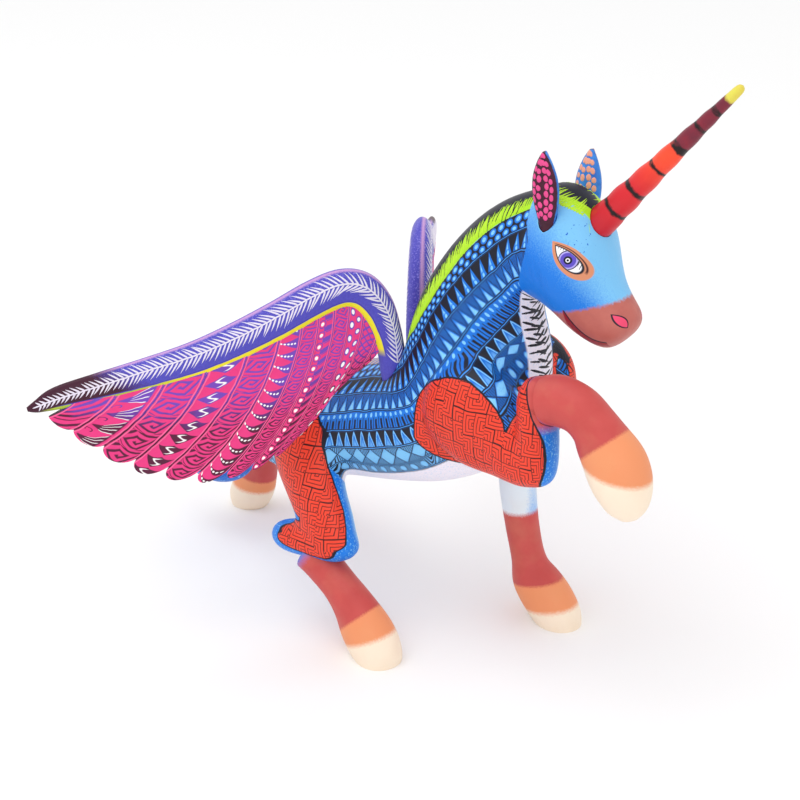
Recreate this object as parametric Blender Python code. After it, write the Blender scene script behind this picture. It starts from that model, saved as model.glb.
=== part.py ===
"""Carved and painted wooden alebrije: a prancing winged unicorn that comes apart at its pegs.

One copal block holds the torso, neck, head and upper legs. Four lower legs are glued to it on dowels.
The wings, ears, horn and tail plug into sockets and pull out along their pegs.
+X is forwards, +Y is the figure's left and +Z is up. Numbers are millimetres until place() makes them metres.
"""

import math

import bmesh
import bpy
from mathutils import Vector

MM = 0.001

# Fineness of the facets: rings between stations, and sides of a ring
BODY_STEPS, BODY_SIDES = 3, 32
UPPER_LIMB_SIDES = 24
LEG_STEPS, LEG_SIDES = 2, 20
HORN_SIDES = 20
EAR_STEPS, EAR_SIDES = 2, 16
TAIL_STEPS, TAIL_SIDES = 2, 18
ARM_STEPS, ARM_SIDES = 2, 12
FAN_ROWS = 6
SHARP_ANGLE = 40  # degrees

# Driving sizes
GLUE_GAP = 0.35  # between a glued or plugged piece and its socket
SEAT_STATIONS = 4  # stations of a piece that its seat follows, counted from its inner end
BODY_VOXEL = 6.0  # facet size of the carved block
BODY_SOFTENING = 4  # smoothing passes that round the carved creases
DOWEL_RADIUS = 2.5
DOWEL_LENGTH = 15.0
HORN_LENGTH = 90.5
HORN_BASE_RADIUS = 6.6
HORN_TIP_RADIUS = 1.9
HORN_POINT = 0.6  # radius of the blunt point
HORN_STATIONS = 12
HORN_SEAT_DEPTH = 0.35  # how far the foot is let into the head, as a share of its radius
HORN_FOOT_SHARE = 0.9  # radius of the let-in foot, as a share of the base
HORN_PEG_RADIUS = 3.0
HORN_PEG_LENGTH = 12.0
EAR_LENGTH = 31.0
EAR_HALF_BREADTH = 6.4
EAR_HALF_THICKNESS = 3.2
EAR_EDGE_SHARE = 0.35  # share of its thickness that the ear keeps where its outline closes
# Share of an ear's length, from a little below its foot, and of its breadth there
EAR_OUTLINE = [
    (-0.1, 0.45),
    (0.05, 0.66),
    (0.25, 0.9),
    (0.45, 1.0),
    (0.65, 0.9),
    (0.83, 0.6),
    (0.95, 0.28),
    (1.0, 0.1),
]
EAR_PEG_RADIUS = 2.2
EAR_PEG_LENGTH = 9.0
TAIL_PEG_RADIUS = 3.5
TAIL_PEG_LENGTH = 13.0
WING_REACH = 1.0  # scale of the wing in its own plane
RIGHT_WING_SPLAY = 52.0  # degrees between the wing's plane and straight back
LEFT_WING_SPLAY = 55.0
WING_SEAT_STATIONS = 5  # stations of the arm that its seat follows
WING_TENON_BREADTH = 7.0
WING_TENON_THICKNESS = 5.0
WING_TENON_LENGTH = 15.0
TENON_OVERLAP = 2.0  # how far the tenon runs up inside the arm
FAN_HALF_THICKNESS = 2.3
FAN_THINNING = 0.45  # share of its thickness that the fan loses by its tips
LEFT_WING_SHIFT = Vector((-10, 0, 2))  # the left socket was cut further back

# Upper and lower outline of the torso and neck, from rump to poll: top x, z, bottom x, z, half width
TORSO_SECTIONS = [
    (-88, 86, -83, 72, 9),
    (-79, 97, -72, 61, 22),
    (-60, 108, -56, 58, 30),
    (-38, 116, -38, 62, 32),
    (-18, 123, -15, 67.5, 32),
    (0, 130, 10, 72.5, 33),
    (9, 138, 35, 79.5, 33),
    (12, 148, 57, 92, 31),
    (13, 158, 74, 111, 27.5),
    (16, 168, 80, 134, 24),
    (23, 181, 79.5, 152, 21),
    (33, 195, 75.5, 164, 19),
    (45, 208, 74, 172, 17.5),
    (58, 218, 74, 180, 16),
    (72, 225, 80, 190, 14),
    (84, 229, 90, 200, 10),
]
# The same for the head, from the nape to the muzzle
HEAD_SECTIONS = [
    (76, 225, 70, 190, 9),
    (82, 230, 71, 180, 15.5),
    (91, 231, 77, 177, 18),
    (98, 228, 83, 175, 19),
    (104.5, 222, 89, 172, 19),
    (109, 214, 94.5, 168, 17.5),
    (111.5, 205, 100, 165, 15),
    (114.5, 195.5, 106, 163, 13),
    (119.5, 187.5, 111, 162.5, 12.2),
    (124.5, 182, 115, 163.5, 11),
    (125.5, 177, 118.5, 167, 8.5),
    (123.5, 172.5, 122, 170.5, 2.5),
]
# Limbs: x, y, z, half depth fore and aft, half width
RIGHT_SHOULDER = [
    (38, -24, 127, 5, 5),
    (44, -25, 127, 18, 13),
    (60, -25.5, 127, 25, 14.5),
    (76, -27, 122, 21, 13),
    (88, -31, 118, 14.5, 11.5),
    (98, -33, 117, 11.5, 10),
    (106, -33, 117, 4, 4),
]
RIGHT_FOREARM = [
    (97, -33, 108, 4, 4),
    (98, -33, 112, 9.5, 9.5),
    (99.5, -33.5, 124, 9.5, 10),
    (99, -33, 138, 9, 10),
    (98.5, -32.5, 149, 9.5, 10),
    (97.5, -32, 157, 5, 6),
]
LEFT_SHOULDER = [
    (60, 19, 148, 8, 6),
    (59, 23, 140, 19, 11),
    (57, 25, 124, 22, 13),
    (54, 28, 108, 17, 12.5),
    (49, 31, 92, 13, 11.5),
    (45, 33, 78, 11, 10.5),
    (43.5, 33.5, 70, 9, 9),
]
RIGHT_THIGH = [
    (-42, -12, 100, 12, 10),
    (-41, -17, 94, 25, 18),
    (-33, -27, 83, 20, 14),
    (-21, -35, 68, 15.5, 12),
    (-10, -39, 54, 13.5, 11),
    (-4, -40, 48, 9.5, 9.5),
    (-3, -40, 43.5, 5, 5),
]
RIGHT_HOCK = [
    (6, -40, 49, 4, 5),
    (-4, -40, 48, 8.5, 9.5),
    (-20, -41, 46, 8.2, 9.5),
    (-35, -41, 44.5, 8, 8.5),
    (-43, -41, 44, 4, 4),
]
LEFT_THIGH = [
    (-44, 12, 100, 12, 10),
    (-45, 17, 94, 25, 18),
    (-53, 26, 83, 19, 14),
    (-61, 31, 72, 14.5, 11.5),
    (-67, 33, 63, 11, 10.5),
    (-69, 34, 56, 5, 6),
]
LEFT_HOCK = [
    (-60, 33, 64, 5, 6),
    (-68, 33, 64, 10.5, 10.5),
    (-82, 33.5, 62, 10.5, 10),
    (-96, 33, 59, 10.5, 9.5),
    (-108, 32, 55, 9.5, 9),
    (-116, 32, 53, 4, 4),
]
# Lower legs, from the glue joint to the hoof; a planted one runs below the ground and is cut flat there
LOWER_LEGS = {
    "right_fore": [
        (103, -32.5, 147.5, 10.6, 10),
        (110, -32.5, 149, 11, 10),
        (119, -32.5, 147.5, 10.6, 9.6),
        (126, -32.3, 142.5, 10.6, 9.4),
        (131.5, -32, 135.5, 12.6, 10.6),
        (137.5, -32, 127.5, 14, 12.2),
        (141.5, -32, 118.5, 12.8, 11.8),
        (144, -32, 110, 9, 8.6),
        (145, -32, 105.5, 4, 4),
    ],
    "left_fore": [
        (43.5, 33.6, 73, 9, 8.8),
        (43.8, 34, 62, 8.8, 8.4),
        (46.5, 34, 45, 8, 8),
        (50.5, 34, 29, 8.2, 8),
        (54.5, 34, 19.5, 11.4, 10),
        (62.5, 34, 10.5, 12.4, 11),
        (70, 33.8, 2, 10.6, 10.4),
        (75, 33.5, -5, 6, 7),
    ],
    "right_hind": [
        (-20, -41, 39.5, 9, 8.8),
        (-13, -41.5, 36, 8.8, 8.6),
        (-2, -42.5, 29, 8.6, 8.4),
        (6.5, -43.3, 22, 10.4, 9),
        (14, -44.3, 14, 12.4, 10.8),
        (20.5, -45, 6.5, 12.2, 11.4),
        (26, -45.6, -1, 9.4, 9.8),
        (29, -46, -5, 5, 6),
    ],
    "left_hind": [
        (-108, 33, 49, 8.8, 8.6),
        (-112, 34, 41, 8.4, 8.2),
        (-117.5, 35.5, 31, 8.4, 8.2),
        (-122, 37, 20.5, 10, 9),
        (-126, 38, 12.5, 11.2, 10.4),
        (-130.5, 38.5, 4, 10.6, 10.4),
        (-133, 38.5, -4, 6.5, 7),
    ],
}
TAIL = [
    (-77, 0, 88.5, 6.5, 6),
    (-84, 0, 94, 8, 7.5),
    (-92.5, 0.5, 95.5, 9, 8.5),
    (-100, 1, 90, 9.4, 9),
    (-103, 1.5, 79, 9, 8.6),
    (-101, 2, 67, 8.8, 8.4),
    (-101, 2.5, 55, 9, 8.6),
    (-108, 3, 44, 9.4, 8.8),
    (-121, 3, 39.2, 9.2, 8.6),
    (-134, 3.5, 42, 8.2, 8),
    (-143, 4.5, 50.5, 6.4, 6.2),
    (-147.5, 5.5, 61, 3.8, 3.8),
    (-148, 6, 69, 1.2, 1.2),
]
TAIL_PULL = Vector((-0.76, 0, 0.65)).normalized()

HORN_FOOT = Vector((105, 0, 217))
HORN_PULL = Vector((0.671, 0, 0.742)).normalized()
RIGHT_EAR_FOOT = Vector((88, -14.5, 217.5))
LEFT_EAR_SHIFT = Vector((1, -1.5, -7))  # the left ear was set a little lower
EAR_LEAN = 0.10  # sideways travel of an ear for each unit of its length

RIGHT_WING_ROOT = Vector((9, -15.5, 131))
WING_PULL_SPREAD = 0.30  # outward travel of a wing for each unit it lifts
# Wing arm in the wing's own plane: out along the plane, up from the root, half breadth, half thickness
WING_ARM = [
    (0.5, -6, 5, 5),
    (0.5, 0, 6, 6),
    (1.5, 9, 6.2, 6),
    (4, 20, 6.8, 5.8),
    (8.2, 31, 7.8, 5.5),
    (15, 39, 8.6, 5.2),
    (24, 41, 9, 5),
    (36, 37, 9.2, 4.8),
    (52, 29, 9.2, 4.5),
    (70, 21, 9, 4.2),
    (90, 14, 8.4, 3.8),
    (111, 9.2, 7.7, 3.4),
    (132, 5.2, 6.8, 3),
    (150, 2, 5.4, 2.5),
    (159, -1, 3, 1.8),
    (163.5, -2, 1, 0.8),
]
# Feathers in the same plane: where each leaves the arm, and its tip
FEATHERS = [
    ((134, 1), (151, -11)),
    ((113, 4), (141, -20)),
    ((94, 8), (129, -30)),
    ((74, 15), (116, -38)),
    ((58, 22), (102, -43)),
    ((46, 27), (88, -46)),
    ((38, 31), (75, -45)),
    ((31, 34), (64, -42)),
    ((24, 35), (53, -36)),
    ((18, 33), (42, -26)),
    ((11, 28), (29, -10)),
    ((5, 16), (16, 2)),
]
FEATHER_SAG = (-13, -3)  # how far a feather's middle bends towards the body, for one 73 mm long
SAG_LENGTH = 73.0
NOTCH_DEPTH = 0.07  # share of a feather's length that the cut between two tips takes


def place(x, y, z):
    return Vector((x, y, z)) * MM


def eased(rows, steps):
    """Rows of numbers with steps - 1 more between each pair, on a Catmull-Rom curve through them."""
    rows = [tuple(map(float, row)) for row in rows]
    ends = [rows[0], *rows, rows[-1]]
    made = []
    for before, start, finish, after in zip(ends, ends[1:], ends[2:], ends[3:]):
        for step in range(steps):
            t = step / steps
            made.append(
                tuple(
                    b + 0.5 * t * (c - a + t * (2 * a - 5 * b + 4 * c - d + t * (3 * (b - c) + d - a)))
                    for a, b, c, d in zip(before, start, finish, after)
                )
            )
    made.append(rows[-1])
    return made


def ellipse(centre, one_way, other_way, sides):
    """A ring of points whose two half axes are the vectors given."""
    turns = [2 * math.pi * side / sides for side in range(sides)]
    return [centre + one_way * math.cos(turn) + other_way * math.sin(turn) for turn in turns]


def profile_rings(sections, steps, sides):
    """Rings between an upper and a lower outline in the figure's middle plane."""
    rings = []
    for top_x, top_z, bottom_x, bottom_z, half_width in eased(sections, steps):
        top, bottom = place(top_x, 0, top_z), place(bottom_x, 0, bottom_z)
        rings.append(ellipse((top + bottom) / 2, (top - bottom) / 2, place(0, half_width, 0), sides))
    return rings


def limb_rings(stations, steps, sides, grow=0.0):
    """Rings square to a limb's path. grow makes every ring that much larger, for a socket."""
    rows = eased(stations, steps)
    centres = [place(*row[:3]) for row in rows]
    rings = []
    for index, row in enumerate(rows):
        ahead = centres[min(index + 1, len(rows) - 1)] - centres[max(index - 1, 0)]
        across = (Vector((0, 1, 0)) - ahead * (ahead.y / ahead.length_squared)).normalized()
        deep = across.cross(ahead).normalized()
        depth, width = (max(size, 0.3) + grow for size in row[3:5])
        rings.append(ellipse(centres[index], deep * depth * MM, across * width * MM, sides))
    return rings


def rod_rings(start, finish, radius, sides=16):
    """The two end rings of a straight round peg, in millimetres."""
    along = (finish - start).normalized()
    across = along.orthogonal().normalized()
    return [
        ellipse(end * MM, across * radius * MM, along.cross(across) * radius * MM, sides)
        for end in (start, finish)
    ]


def add_shell(shape, rings):
    """Adds a closed tube through the rings, with a fan of triangles on each end."""
    loops = [[shape.verts.new(point) for point in ring] for ring in rings]
    for one, two in zip(loops, loops[1:]):
        for side, vert in enumerate(one):
            after = (side + 1) % len(one)
            shape.faces.new((vert, one[after], two[after], two[side]))
    for loop in (loops[0], loops[-1]):
        middle = shape.verts.new(sum((vert.co for vert in loop), Vector()) / len(loop))
        for side, vert in enumerate(loop):
            shape.faces.new((vert, loop[(side + 1) % len(loop)], middle))


def cut_flat(shape):
    """Cuts the shape off at the ground, which leaves a flat sole."""
    everything = [*shape.verts, *shape.edges, *shape.faces]
    ground = {"plane_co": (0, 0, 0), "plane_no": (0, 0, -1)}
    cut = bmesh.ops.bisect_plane(shape, geom=everything, clear_outer=True, **ground)
    rim = [item for item in cut["geom_cut"] if isinstance(item, bmesh.types.BMEdge)]
    bmesh.ops.contextual_create(shape, geom=rim)


def paint(name, colour, roughness=0.45):
    material = bpy.data.materials.new(name)
    material.use_nodes = True
    shader = material.node_tree.nodes["Principled BSDF"]
    shader.inputs["Base Color"].default_value = (*colour, 1)
    shader.inputs["Roughness"].default_value = roughness
    return material


def make(name, shells, material=None, origin=None, flat_sole=False):
    """An object from closed shells. Its origin is moved to the point given, in millimetres."""
    shape = bmesh.new()
    for rings in shells:
        add_shell(shape, rings)
    if flat_sole:
        cut_flat(shape)
    bmesh.ops.triangulate(shape, faces=shape.faces)
    bmesh.ops.recalc_face_normals(shape, faces=shape.faces)
    origin = (origin or Vector()) * MM
    bmesh.ops.translate(shape, verts=shape.verts, vec=-origin)
    mesh = bpy.data.meshes.new(name)
    shape.to_mesh(mesh)
    shape.free()
    mesh.shade_smooth()
    mesh.set_sharp_from_angle(angle=math.radians(SHARP_ANGLE))
    made = bpy.data.objects.new(name, mesh)
    made.location = origin
    bpy.context.scene.collection.objects.link(made)
    if material:
        mesh.materials.append(material)
    return made


def add_to(made, other):
    """Unites a helper object with this one."""
    union = made.modifiers.new("with_" + other.name, "BOOLEAN")
    union.operation = "UNION"
    union.object = other
    as_helper(other)


def cut_from(made, cutter):
    cut = made.modifiers.new("socket_" + cutter.name, "BOOLEAN")
    cut.operation = "DIFFERENCE"
    cut.object = cutter
    as_helper(cutter)


def as_helper(thing):
    thing.hide_render = True
    thing.display_type = "WIRE"


def make_body(material):
    shells = [
        profile_rings(TORSO_SECTIONS, BODY_STEPS, BODY_SIDES),
        profile_rings(HEAD_SECTIONS, BODY_STEPS, BODY_SIDES),
    ]
    limbs = (RIGHT_SHOULDER, RIGHT_FOREARM, LEFT_SHOULDER, RIGHT_THIGH, RIGHT_HOCK, LEFT_THIGH, LEFT_HOCK)
    shells += [limb_rings(limb, BODY_STEPS, UPPER_LIMB_SIDES) for limb in limbs]
    body = make("body", shells, material)
    carve = body.modifiers.new("carved_block", "REMESH")
    carve.mode = "VOXEL"
    carve.voxel_size = BODY_VOXEL * MM
    soften = body.modifiers.new("softened", "SMOOTH")
    soften.factor = 0.5
    soften.iterations = BODY_SOFTENING
    body.modifiers.new("flat_facets", "TRIANGULATE")
    return body


def leg_joint(stations):
    """Where a lower leg meets the body, and the way it leaves."""
    joint = Vector(stations[0][:3])
    return joint, (Vector(stations[1][:3]) - joint).normalized()


def make_lower_leg(body, name, stations, leg_paint, dowel_paint):
    joint, down = leg_joint(stations)
    planted = stations[-1][2] < 0
    rings = limb_rings(stations, LEG_STEPS, LEG_SIDES)
    leg = make(name + "_leg", [rings], leg_paint, joint, flat_sole=planted)
    seat_rows = [seat_end(stations), *stations[1:SEAT_STATIONS]]
    seat = make(name + "_seat", [limb_rings(seat_rows, LEG_STEPS, LEG_SIDES, GLUE_GAP)])
    ends = joint - down * DOWEL_LENGTH / 2, joint + down * DOWEL_LENGTH / 2
    make(name + "_dowel", [rod_rings(*ends, DOWEL_RADIUS)], dowel_paint, joint)
    deeper = ends[0] - down * GLUE_GAP, ends[1] + down * GLUE_GAP
    hole = make(name + "_dowel_hole", [rod_rings(*deeper, DOWEL_RADIUS + GLUE_GAP)])
    add_to(seat, hole)
    cut_from(body, seat)
    cut_from(leg, hole)


def seat_end(stations):
    """The leg's first station moved back by the glue gap, so that the seat is as much deeper."""
    joint, down = leg_joint(stations)
    return (*(joint - down * GLUE_GAP), *stations[0][3:])


def make_plug(body, name, rings, seat_rings, foot, pull, peg_radius, peg_length, material):
    """A piece on a round peg, and its socket in the body: a seat for its foot and a hole for the peg."""
    piece = make(name, [rings], material, foot)
    start, finish = foot + pull * peg_radius, foot - pull * peg_length
    add_to(piece, make(name + "_peg", [rod_rings(start, finish, peg_radius)]))
    seat = make(name + "_seat", [seat_rings])
    deeper = finish - pull * GLUE_GAP
    add_to(seat, make(name + "_hole", [rod_rings(start, deeper, peg_radius + GLUE_GAP)]))
    cut_from(body, seat)


def horn_stations(from_foot=0.0):
    """Stations of the tapering horn. from_foot starts it that much deeper, for its seat."""
    rows = []
    for index in range(HORN_STATIONS + 1):
        share = index / HORN_STATIONS
        spot = HORN_FOOT + HORN_PULL * (HORN_LENGTH * share)
        radius = HORN_BASE_RADIUS + (HORN_TIP_RADIUS - HORN_BASE_RADIUS) * share
        rows.append((*spot, radius, radius))
    tip = HORN_FOOT + HORN_PULL * (HORN_LENGTH + HORN_TIP_RADIUS)
    foot = HORN_FOOT - HORN_PULL * (HORN_BASE_RADIUS * HORN_SEAT_DEPTH + from_foot)
    foot_radius = HORN_BASE_RADIUS * HORN_FOOT_SHARE
    return [(*foot, foot_radius, foot_radius), *rows, (*tip, HORN_POINT, HORN_POINT)]


def make_horn(body, material):
    rings = limb_rings(horn_stations(), 1, HORN_SIDES)
    seat_rings = limb_rings(horn_stations(GLUE_GAP)[:SEAT_STATIONS], 1, HORN_SIDES, GLUE_GAP)
    peg = HORN_PEG_RADIUS, HORN_PEG_LENGTH
    make_plug(body, "horn", rings, seat_rings, HORN_FOOT, HORN_PULL, *peg, material)


def make_ear(body, side_name, side, material):
    """side is -1 on the right and 1 on the left."""
    foot = RIGHT_EAR_FOOT * Vector((1, -side, 1)) + (LEFT_EAR_SHIFT if side > 0 else Vector())
    pull = Vector((0, side * EAR_LEAN, 1)).normalized()
    rows = []
    for share, size in EAR_OUTLINE:
        spot = foot + pull * (EAR_LENGTH * share)
        thickness = EAR_HALF_THICKNESS * (EAR_EDGE_SHARE + (1 - EAR_EDGE_SHARE) * size)
        rows.append((*spot, EAR_HALF_BREADTH * size, thickness))
    rings = limb_rings(rows, EAR_STEPS, EAR_SIDES)
    seat_rings = limb_rings(rows[:SEAT_STATIONS], EAR_STEPS, EAR_SIDES, GLUE_GAP)
    peg = EAR_PEG_RADIUS, EAR_PEG_LENGTH
    make_plug(body, side_name + "_ear", rings, seat_rings, foot, pull, *peg, material)


def make_tail(body, material):
    start = Vector(TAIL[0][:3]) - TAIL_PULL * GLUE_GAP
    seat_rows = [(*start, *TAIL[0][3:]), *TAIL[1:SEAT_STATIONS]]
    rings = limb_rings(TAIL, TAIL_STEPS, TAIL_SIDES)
    seat_rings = limb_rings(seat_rows, TAIL_STEPS, TAIL_SIDES, GLUE_GAP)
    peg = TAIL_PEG_RADIUS, TAIL_PEG_LENGTH
    make_plug(body, "tail", rings, seat_rings, Vector(TAIL[1][:3]), TAIL_PULL, *peg, material)


def wing_frame(side):
    """Root, outward, up and facing directions of a wing. The facing side is the painted front."""
    root = RIGHT_WING_ROOT * Vector((1, -side, 1)) + (LEFT_WING_SHIFT if side > 0 else Vector())
    splay = math.radians(LEFT_WING_SPLAY if side > 0 else RIGHT_WING_SPLAY)
    outward = Vector((-math.cos(splay), side * math.sin(splay), 0))
    facing = Vector((math.sin(splay), side * math.cos(splay), 0))
    return root, outward, Vector((0, 0, 1)), facing


def arm_rings(side, grow=0.0, stop=None):
    root, outward, up, facing = wing_frame(side)
    rows = eased(WING_ARM[:stop], ARM_STEPS)
    spots = [Vector(row[:2]) * WING_REACH for row in rows]
    rings = []
    for index, row in enumerate(rows):
        along = spots[min(index + 1, len(rows) - 1)] - spots[max(index - 1, 0)]
        along.normalize()
        centre = root + outward * spots[index].x + up * spots[index].y
        square = outward * -along.y + up * along.x
        broad, thick = square * (row[2] + grow) * MM, facing * (row[3] + grow) * MM
        rings.append(ellipse(centre * MM, broad, thick, ARM_SIDES))
    return rings


def feather_line(leaves, tip, share):
    """A point on a feather's middle line, in the wing's plane."""
    leaves, tip = Vector(leaves), Vector(tip)
    bend = (leaves + tip) / 2 + Vector(FEATHER_SAG) * ((tip - leaves).length / SAG_LENGTH)
    return leaves * (1 - share) ** 2 + bend * (2 * share * (1 - share)) + tip * share**2


def fan_columns():
    """Lines down the fan, feathers and the cuts between them: (leaves, tip, share that is kept)."""
    columns = []
    for one, two in zip(FEATHERS, FEATHERS[1:]):
        between = [(Vector(a) + Vector(b)) / 2 for a, b in zip(one, two)]
        columns += [(*one, 1.0), (*between, 1 - NOTCH_DEPTH)]
    return [*columns, (*FEATHERS[-1], 1.0)]


def make_fan(side):
    """The feathers as one scalloped plate, thinner towards the tips, with its upper edge inside the arm."""
    root, outward, up, facing = wing_frame(side)
    shape = bmesh.new()
    grid = []
    for leaves, tip, kept in fan_columns():
        line = []
        for row in range(FAN_ROWS + 1):
            spot = feather_line(leaves, tip, kept * row / FAN_ROWS) * WING_REACH
            middle = root + outward * spot.x + up * spot.y
            half = FAN_HALF_THICKNESS * (1 - FAN_THINNING * row / FAN_ROWS)
            line.append([shape.verts.new((middle + facing * offset) * MM) for offset in (half, -half)])
        grid.append(line)
    for one, two in zip(grid, grid[1:]):
        for row in range(FAN_ROWS):
            for face in (0, 1):
                shape.faces.new((one[row][face], two[row][face], two[row + 1][face], one[row + 1][face]))
        for row in (0, FAN_ROWS):
            shape.faces.new((one[row][0], two[row][0], two[row][1], one[row][1]))
    for line in (grid[0], grid[-1]):
        for row in range(FAN_ROWS):
            shape.faces.new((line[row][0], line[row + 1][0], line[row + 1][1], line[row][1]))
    bmesh.ops.triangulate(shape, faces=shape.faces)
    bmesh.ops.recalc_face_normals(shape, faces=shape.faces)
    mesh = bpy.data.meshes.new("fan")
    shape.to_mesh(mesh)
    shape.free()
    fan = bpy.data.objects.new("right_fan" if side < 0 else "left_fan", mesh)
    bpy.context.scene.collection.objects.link(fan)
    return fan


def tenon_rings(side, grow=0.0):
    """A flat wooden tenon below the wing's root, in line with the way the wing pulls out."""
    root, outward, _, facing = wing_frame(side)
    pull = wing_pull(side)
    broad = (outward - pull * outward.dot(pull)).normalized() * (WING_TENON_BREADTH / 2 + grow)
    thick = broad.cross(pull).normalized() * (WING_TENON_THICKNESS / 2 + grow)
    ends = root + pull * TENON_OVERLAP, root - pull * (WING_TENON_LENGTH + grow)
    corners = (broad + thick, broad - thick, -broad - thick, -broad + thick)
    return [[(end + corner) * MM for corner in corners] for end in ends]


def wing_pull(side):
    return Vector((0, side * WING_PULL_SPREAD, 1)).normalized()


def make_wing(body, side_name, side, material):
    root = wing_frame(side)[0]
    wing = make(side_name + "_wing", [arm_rings(side)], material, root)
    add_to(wing, make_fan(side))
    add_to(wing, make(side_name + "_tenon", [tenon_rings(side)]))
    seat = make(side_name + "_wing_seat", [arm_rings(side, GLUE_GAP, WING_SEAT_STATIONS)])
    add_to(seat, make(side_name + "_mortise", [tenon_rings(side, GLUE_GAP)]))
    cut_from(body, seat)


def stand_on_origin():
    """Moves everything so that the bottom centre of the figure's box is at the origin."""
    bpy.context.view_layer.update()
    graph = bpy.context.evaluated_depsgraph_get()
    pieces = [thing for thing in bpy.context.scene.objects if not thing.hide_render]
    corners = []
    for piece in pieces:
        seen = piece.evaluated_get(graph)
        corners += [seen.matrix_world @ vert.co for vert in seen.data.vertices]
    low = Vector(min(corner[axis] for corner in corners) for axis in range(3))
    high = Vector(max(corner[axis] for corner in corners) for axis in range(3))
    figure = bpy.data.objects.new("figure", None)
    bpy.context.scene.collection.objects.link(figure)
    for thing in list(bpy.context.scene.objects):
        if thing != figure:
            thing.parent = figure
    figure.location = (-(low.x + high.x) / 2, -(low.y + high.y) / 2, -low.z)


def main():
    for thing in list(bpy.data.objects):
        bpy.data.objects.remove(thing)
    body_paint = paint("painted_blue_body", (0.02, 0.22, 0.62))
    leg_paint = paint("painted_terracotta", (0.60, 0.16, 0.13))
    bare_wood = paint("bare_copal", (0.72, 0.55, 0.36), 0.7)
    body = make_body(body_paint)
    for name, stations in LOWER_LEGS.items():
        make_lower_leg(body, name, stations, leg_paint, bare_wood)
    make_horn(body, paint("painted_red_horn", (0.70, 0.06, 0.03)))
    ear_paint = paint("painted_dotted_ear", (0.65, 0.04, 0.18))
    wing_paint = paint("painted_pink_wing", (0.80, 0.06, 0.32))
    for side_name, side in (("right", -1), ("left", 1)):
        make_ear(body, side_name, side, ear_paint)
        make_wing(body, side_name, side, wing_paint)
    make_tail(body, paint("painted_blue_tail", (0.02, 0.16, 0.50)))
    stand_on_origin()


main()
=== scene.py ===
import math

import bmesh
import bpy
import numpy as np
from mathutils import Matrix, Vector


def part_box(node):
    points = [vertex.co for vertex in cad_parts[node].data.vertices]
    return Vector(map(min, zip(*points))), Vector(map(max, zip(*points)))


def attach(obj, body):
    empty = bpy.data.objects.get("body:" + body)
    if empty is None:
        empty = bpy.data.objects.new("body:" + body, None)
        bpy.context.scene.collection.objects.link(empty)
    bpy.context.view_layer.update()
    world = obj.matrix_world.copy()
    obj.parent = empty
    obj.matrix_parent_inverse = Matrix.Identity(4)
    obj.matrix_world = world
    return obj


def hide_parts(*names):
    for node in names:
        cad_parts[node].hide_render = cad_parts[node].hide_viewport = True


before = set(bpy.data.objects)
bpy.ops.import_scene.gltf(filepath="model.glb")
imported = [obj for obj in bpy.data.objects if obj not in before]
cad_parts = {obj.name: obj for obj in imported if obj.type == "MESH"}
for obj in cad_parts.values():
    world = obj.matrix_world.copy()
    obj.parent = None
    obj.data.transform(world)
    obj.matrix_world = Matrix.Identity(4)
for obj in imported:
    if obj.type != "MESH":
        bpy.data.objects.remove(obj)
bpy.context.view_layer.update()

# Shapes are worked out in millimetres from the figure's own datum, then moved onto the frame.
mm = 0.001
hindJoint = (-108, 33, 49)  # the datum's coordinates of the glue joint in the left hind leg
low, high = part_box("left_hind_dowel")
datum = np.array((low + high) / 2) / mm - hindJoint
sides = {"right": -1, "left": 1}
glueGap = 0.35


def say(stage):
    print("alebrije:", stage, flush=True)


def eased(rows, steps):  # Catmull-Rom curve through rows of numbers
    rows = np.array(rows, float)
    ends = np.vstack([rows[:1], rows, rows[-1:]])
    made = []
    for a, b, c, d in zip(ends, ends[1:], ends[2:], ends[3:]):
        for t in np.arange(steps) / steps:
            made.append(b + 0.5 * t * (c - a + t * (2 * a - 5 * b + 4 * c - d + t * (3 * (b - c) + d - a))))
    return np.array([*made, rows[-1]])


def unit(vector):
    vector = np.array(vector, float)
    return vector / np.linalg.norm(vector)


def ring(centre, oneWay, otherWay, count):
    turns = 2 * np.pi * np.arange(count) / count
    return centre + np.outer(np.cos(turns), oneWay) + np.outer(np.sin(turns), otherWay)


def limbRings(stations, steps, count, grow=0.0):  # rings square to a limb's path
    rows = eased(stations, steps)
    rings = []
    for index, row in enumerate(rows):
        ahead = rows[min(index + 1, len(rows) - 1), :3] - rows[max(index - 1, 0), :3]
        across = unit(np.array((0, 1, 0)) - ahead * (ahead[1] / (ahead @ ahead)))
        deep = unit(np.cross(across, ahead))
        depth, width = np.maximum(row[3:5], 0.3) + grow
        rings.append(ring(row[:3], deep * depth, across * width, count))
    return rings


def profileRings(sections, steps, count):  # rings between an upper and a lower outline
    rings = []
    for topX, topZ, bottomX, bottomZ, halfWidth in eased(sections, steps):
        top, bottom = np.array((topX, 0, topZ)), np.array((bottomX, 0, bottomZ))
        rings.append(ring((top + bottom) / 2, (top - bottom) / 2, np.array((0, halfWidth, 0)), count))
    return rings


def rodRings(start, finish, radius, count=24):
    start, finish = np.array(start, float), np.array(finish, float)
    along = unit(finish - start)
    across = unit(np.cross(along, (0.3, 1, 0.1)))
    other = np.cross(along, across)
    return [ring(end, across * radius, other * radius, count) for end in (start, finish)]


def shell(rings):  # closed tube through the rings
    count = len(rings[0])
    points = np.vstack([*rings, rings[0].mean(0), rings[-1].mean(0)])
    faces = []
    for level in range(len(rings) - 1):
        for side in range(count):
            after = (side + 1) % count
            a, b = level * count, level * count + count
            faces.append((a + side, a + after, b + after, b + side))
    first, last = len(points) - 2, len(points) - 1
    for side in range(count):
        after = (side + 1) % count
        faces.append((after, side, first))
        faces.append((len(points) - 2 - count + side, len(points) - 2 - count + after, last))
    return points, faces


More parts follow.
